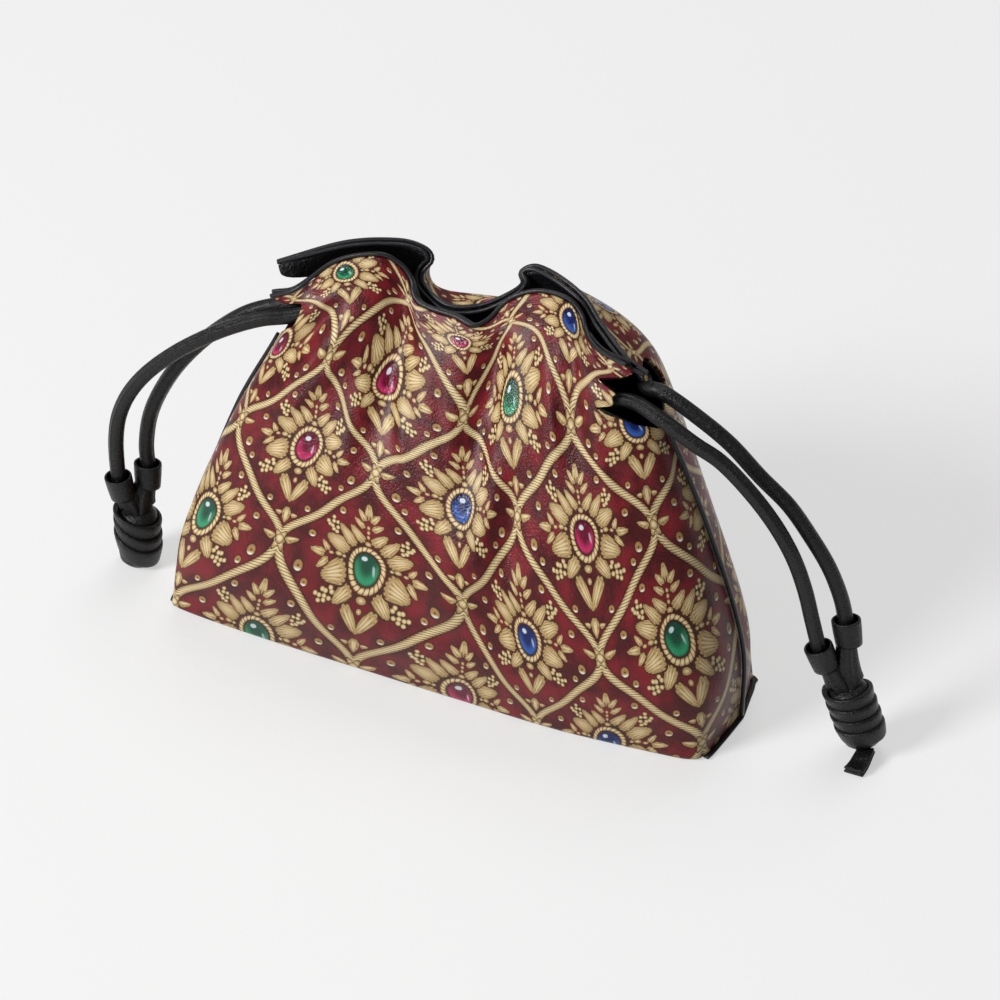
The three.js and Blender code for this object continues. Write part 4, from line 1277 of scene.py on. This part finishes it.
def use_group(tree, group, **values):
    node = tree.nodes.new("ShaderNodeGroup")
    node.node_tree = group
    for key, value in values.items():
        feed(tree, node.inputs[key], value)
    return {output.name: Term(tree, output) for output in node.outputs}


def new_material(name):
    material = bpy.data.materials.new(name)
    material.use_nodes = True
    return material, material.node_tree, material.node_tree.nodes["Principled BSDF"]


def object_place(tree):
    node = tree.nodes.new("ShaderNodeTexCoord")
    return Term(tree, node.outputs["Object"])


def add_bump(tree, shader, height, distance):
    node = tree.nodes.new("ShaderNodeBump")
    node.inputs["Distance"].default_value = distance
    node.inputs["Strength"].default_value = 1.0
    feed(tree, node.inputs["Height"], height)
    tree.links.new(node.outputs[0], shader.inputs["Normal"])


def printed_leather(print_group, grain_group):
    material, tree, shader = new_material("printed_leather")
    attribute = tree.nodes.new("ShaderNodeAttribute")
    attribute.attribute_name = "print_place"
    figures = use_group(tree, print_group, Place=Term(tree, attribute.outputs["Vector"]))
    grain = use_group(tree, grain_group, Place=object_place(tree), Pebbles=1100.0)
    feed(tree, shader.inputs["Base Color"], figures["Color"])
    roughness = blend_terms(grain["Tone"], 0.32, 0.42)
    feed(tree, shader.inputs["Roughness"], blend_terms(figures["Gem"], roughness, 0.12))
    shader.inputs["Specular IOR Level"].default_value = 0.3
    shader.inputs["Coat Weight"].default_value = 0.06
    shader.inputs["Coat Roughness"].default_value = 0.2
    add_bump(tree, shader, grain["Height"], 0.0002)
    return material


def black_leather(name, grain_group, colour, roughness, pebbles, relief, coat):
    material, tree, shader = new_material(name)
    grain = use_group(tree, grain_group, Place=object_place(tree), Pebbles=pebbles)
    worn = tuple(part * 1.7 for part in colour[:3]) + (1,)
    feed(tree, shader.inputs["Base Color"], blend_colours(grain["Tone"], colour, worn))
    feed(tree, shader.inputs["Roughness"], blend_terms(grain["Tone"], roughness - 0.05, roughness + 0.06))
    shader.inputs["Specular IOR Level"].default_value = 0.3
    shader.inputs["Coat Weight"].default_value = coat
    shader.inputs["Coat Roughness"].default_value = 0.25
    add_bump(tree, shader, grain["Height"], relief)
    return material


def build_materials():
    grain = build_grain_group()
    return {
        "print": printed_leather(build_print_group(), grain),
        "black": black_leather("black_leather", grain, colour=(0.005, 0.005, 0.006, 1), roughness=0.4,
                               pebbles=700.0, relief=0.0004, coat=0.05),
        "edge": black_leather("black_edge", grain, colour=(0.012, 0.012, 0.014, 1), roughness=0.34,
                              pebbles=1500.0, relief=0.0001, coat=0.12),
        "cord": black_leather("cord_leather", grain, colour=(0.005, 0.005, 0.006, 1), roughness=0.36,
                              pebbles=1200.0, relief=0.0003, coat=0.08),
    }


# Camera, lamps and floor

CAMERA_AZIMUTH = 24.63
CAMERA_ELEVATION = 37.02
CAMERA_DISTANCE = 1.8
CAMERA_LENS = 141.6
CAMERA_TARGET = (0.0212, 0.0, 0.0915)
WORLD_STRENGTH = 0.22
KEY_POWER = 104
RIM_POWER = 26
KEY_PLACE = (-1.7, -2.4, 2.0)
KEY_SIZE = 1.2
RIM_PLACE = (-0.3, 1.3, 2.9)
RIM_SIZE = 1.6
LAMP_TARGET = (0, 0, 0.08)
FLOOR_HALF = 6.0
FLOOR_TONE = 0.42
FLOOR_LIFT = 0.5


def build_camera():
    azimuth = math.radians(CAMERA_AZIMUTH)
    elevation = math.radians(CAMERA_ELEVATION)
    back = Vector((math.sin(azimuth) * math.cos(elevation), -math.cos(azimuth) * math.cos(elevation),
                   math.sin(elevation)))
    data = bpy.data.cameras.new("camera")
    data.lens = CAMERA_LENS
    data.sensor_width = 36
    data.clip_start = 0.05
    camera = bpy.data.objects.new("camera", data)
    camera.location = Vector(CAMERA_TARGET) + back * CAMERA_DISTANCE
    camera.rotation_mode = "QUATERNION"
    camera.rotation_quaternion = (-back).to_track_quat("-Z", "Y")
    bpy.context.scene.collection.objects.link(camera)
    bpy.context.scene.camera = camera


def add_lamp(name, place, size, power):
    data = bpy.data.lights.new(name, "AREA")
    data.energy = power
    data.shape = "DISK"
    data.size = size
    lamp = bpy.data.objects.new(name, data)
    lamp.location = place
    lamp.rotation_mode = "QUATERNION"
    lamp.rotation_quaternion = (Vector(LAMP_TARGET) - Vector(place)).to_track_quat("-Z", "Y")
    bpy.context.scene.collection.objects.link(lamp)


def pale_floor():
    """A pale floor that keeps the bag's shadow and is lifted to the backdrop's tone where it is seen."""
    material, tree, shader = new_material("pale_floor")
    shader.inputs["Base Color"].default_value = (FLOOR_TONE, FLOOR_TONE, FLOOR_TONE, 1)
    shader.inputs["Roughness"].default_value = 0.9
    shader.inputs["Emission Color"].default_value = (1, 1, 1, 1)
    path = tree.nodes.new("ShaderNodeLightPath")
    seen = larger(Term(tree, path.outputs["Is Camera Ray"]), Term(tree, path.outputs["Is Glossy Ray"]))
    seen = larger(seen, Term(tree, path.outputs["Is Transmission Ray"]))
    feed(tree, shader.inputs["Emission Strength"], seen * FLOOR_LIFT)
    return material


def build_stage():
    corners = [(x * FLOOR_HALF, y * FLOOR_HALF, 0) for x, y in ((-1, -1), (1, -1), (1, 1), (-1, 1))]
    mesh = bpy.data.meshes.new("floor")
    mesh.from_pydata(corners, [], [(0, 1, 2, 3)])
    mesh.materials.append(pale_floor())
    floor = bpy.data.objects.new("floor", mesh)
    bpy.context.scene.collection.objects.link(floor)
    world = bpy.data.worlds.new("studio")
    world.use_nodes = True
    world.node_tree.nodes["Background"].inputs["Color"].default_value = (1, 1, 1, 1)
    world.node_tree.nodes["Background"].inputs["Strength"].default_value = WORLD_STRENGTH
    bpy.context.scene.world = world
    add_lamp("key_lamp", KEY_PLACE, KEY_SIZE, KEY_POWER)
    add_lamp("rim_lamp", RIM_PLACE, RIM_SIZE, RIM_POWER)
    bpy.context.scene.view_settings.view_transform = "Standard"


build_camera()
build_stage()
looks = build_materials()
binding_tree = build_binding_tree()
for wall_side in (FRONT, BACK):
    build_wall(wall_side, looks)
    build_piping(wall_side, binding_tree, looks["edge"])
    build_casing(wall_side, looks["black"])
for end_name, end_side in (("left", -1), ("right", 1)):
    build_side_seam_edge(f"{end_name}_side", end_side, looks["edge"])
    build_base_seam_edge(f"{end_name}_base", end_side, looks["edge"])
routes = {"left_front": LEFT_FRONT_ROUTE, "left_back": LEFT_BACK_ROUTE, "right_front": RIGHT_FRONT_ROUTE,
          "right_back": RIGHT_BACK_ROUTE}
strands = {"left": [], "right": []}
for place_name, free_route in routes.items():
    rise = COLLAR_RISE[place_name]
    build_sleeve(f"{place_name}_collar", free_route, rise, looks["cord"])
    strands[place_name.split("_")[0]].append((free_route, rise))
left_wraps = build_knot("left_knot_wraps", LEFT_KNOT, strands["left"], looks["cord"])
right_wraps = build_knot("right_knot_wraps", RIGHT_KNOT, strands["right"], looks["cord"])
tail = build_tail(looks["cord"])
build_cord(FRONT, LEFT_FRONT_ROUTE, RIGHT_FRONT_ROUTE, looks["cord"])
build_cord(BACK, LEFT_BACK_ROUTE, RIGHT_BACK_ROUTE, looks["cord"])
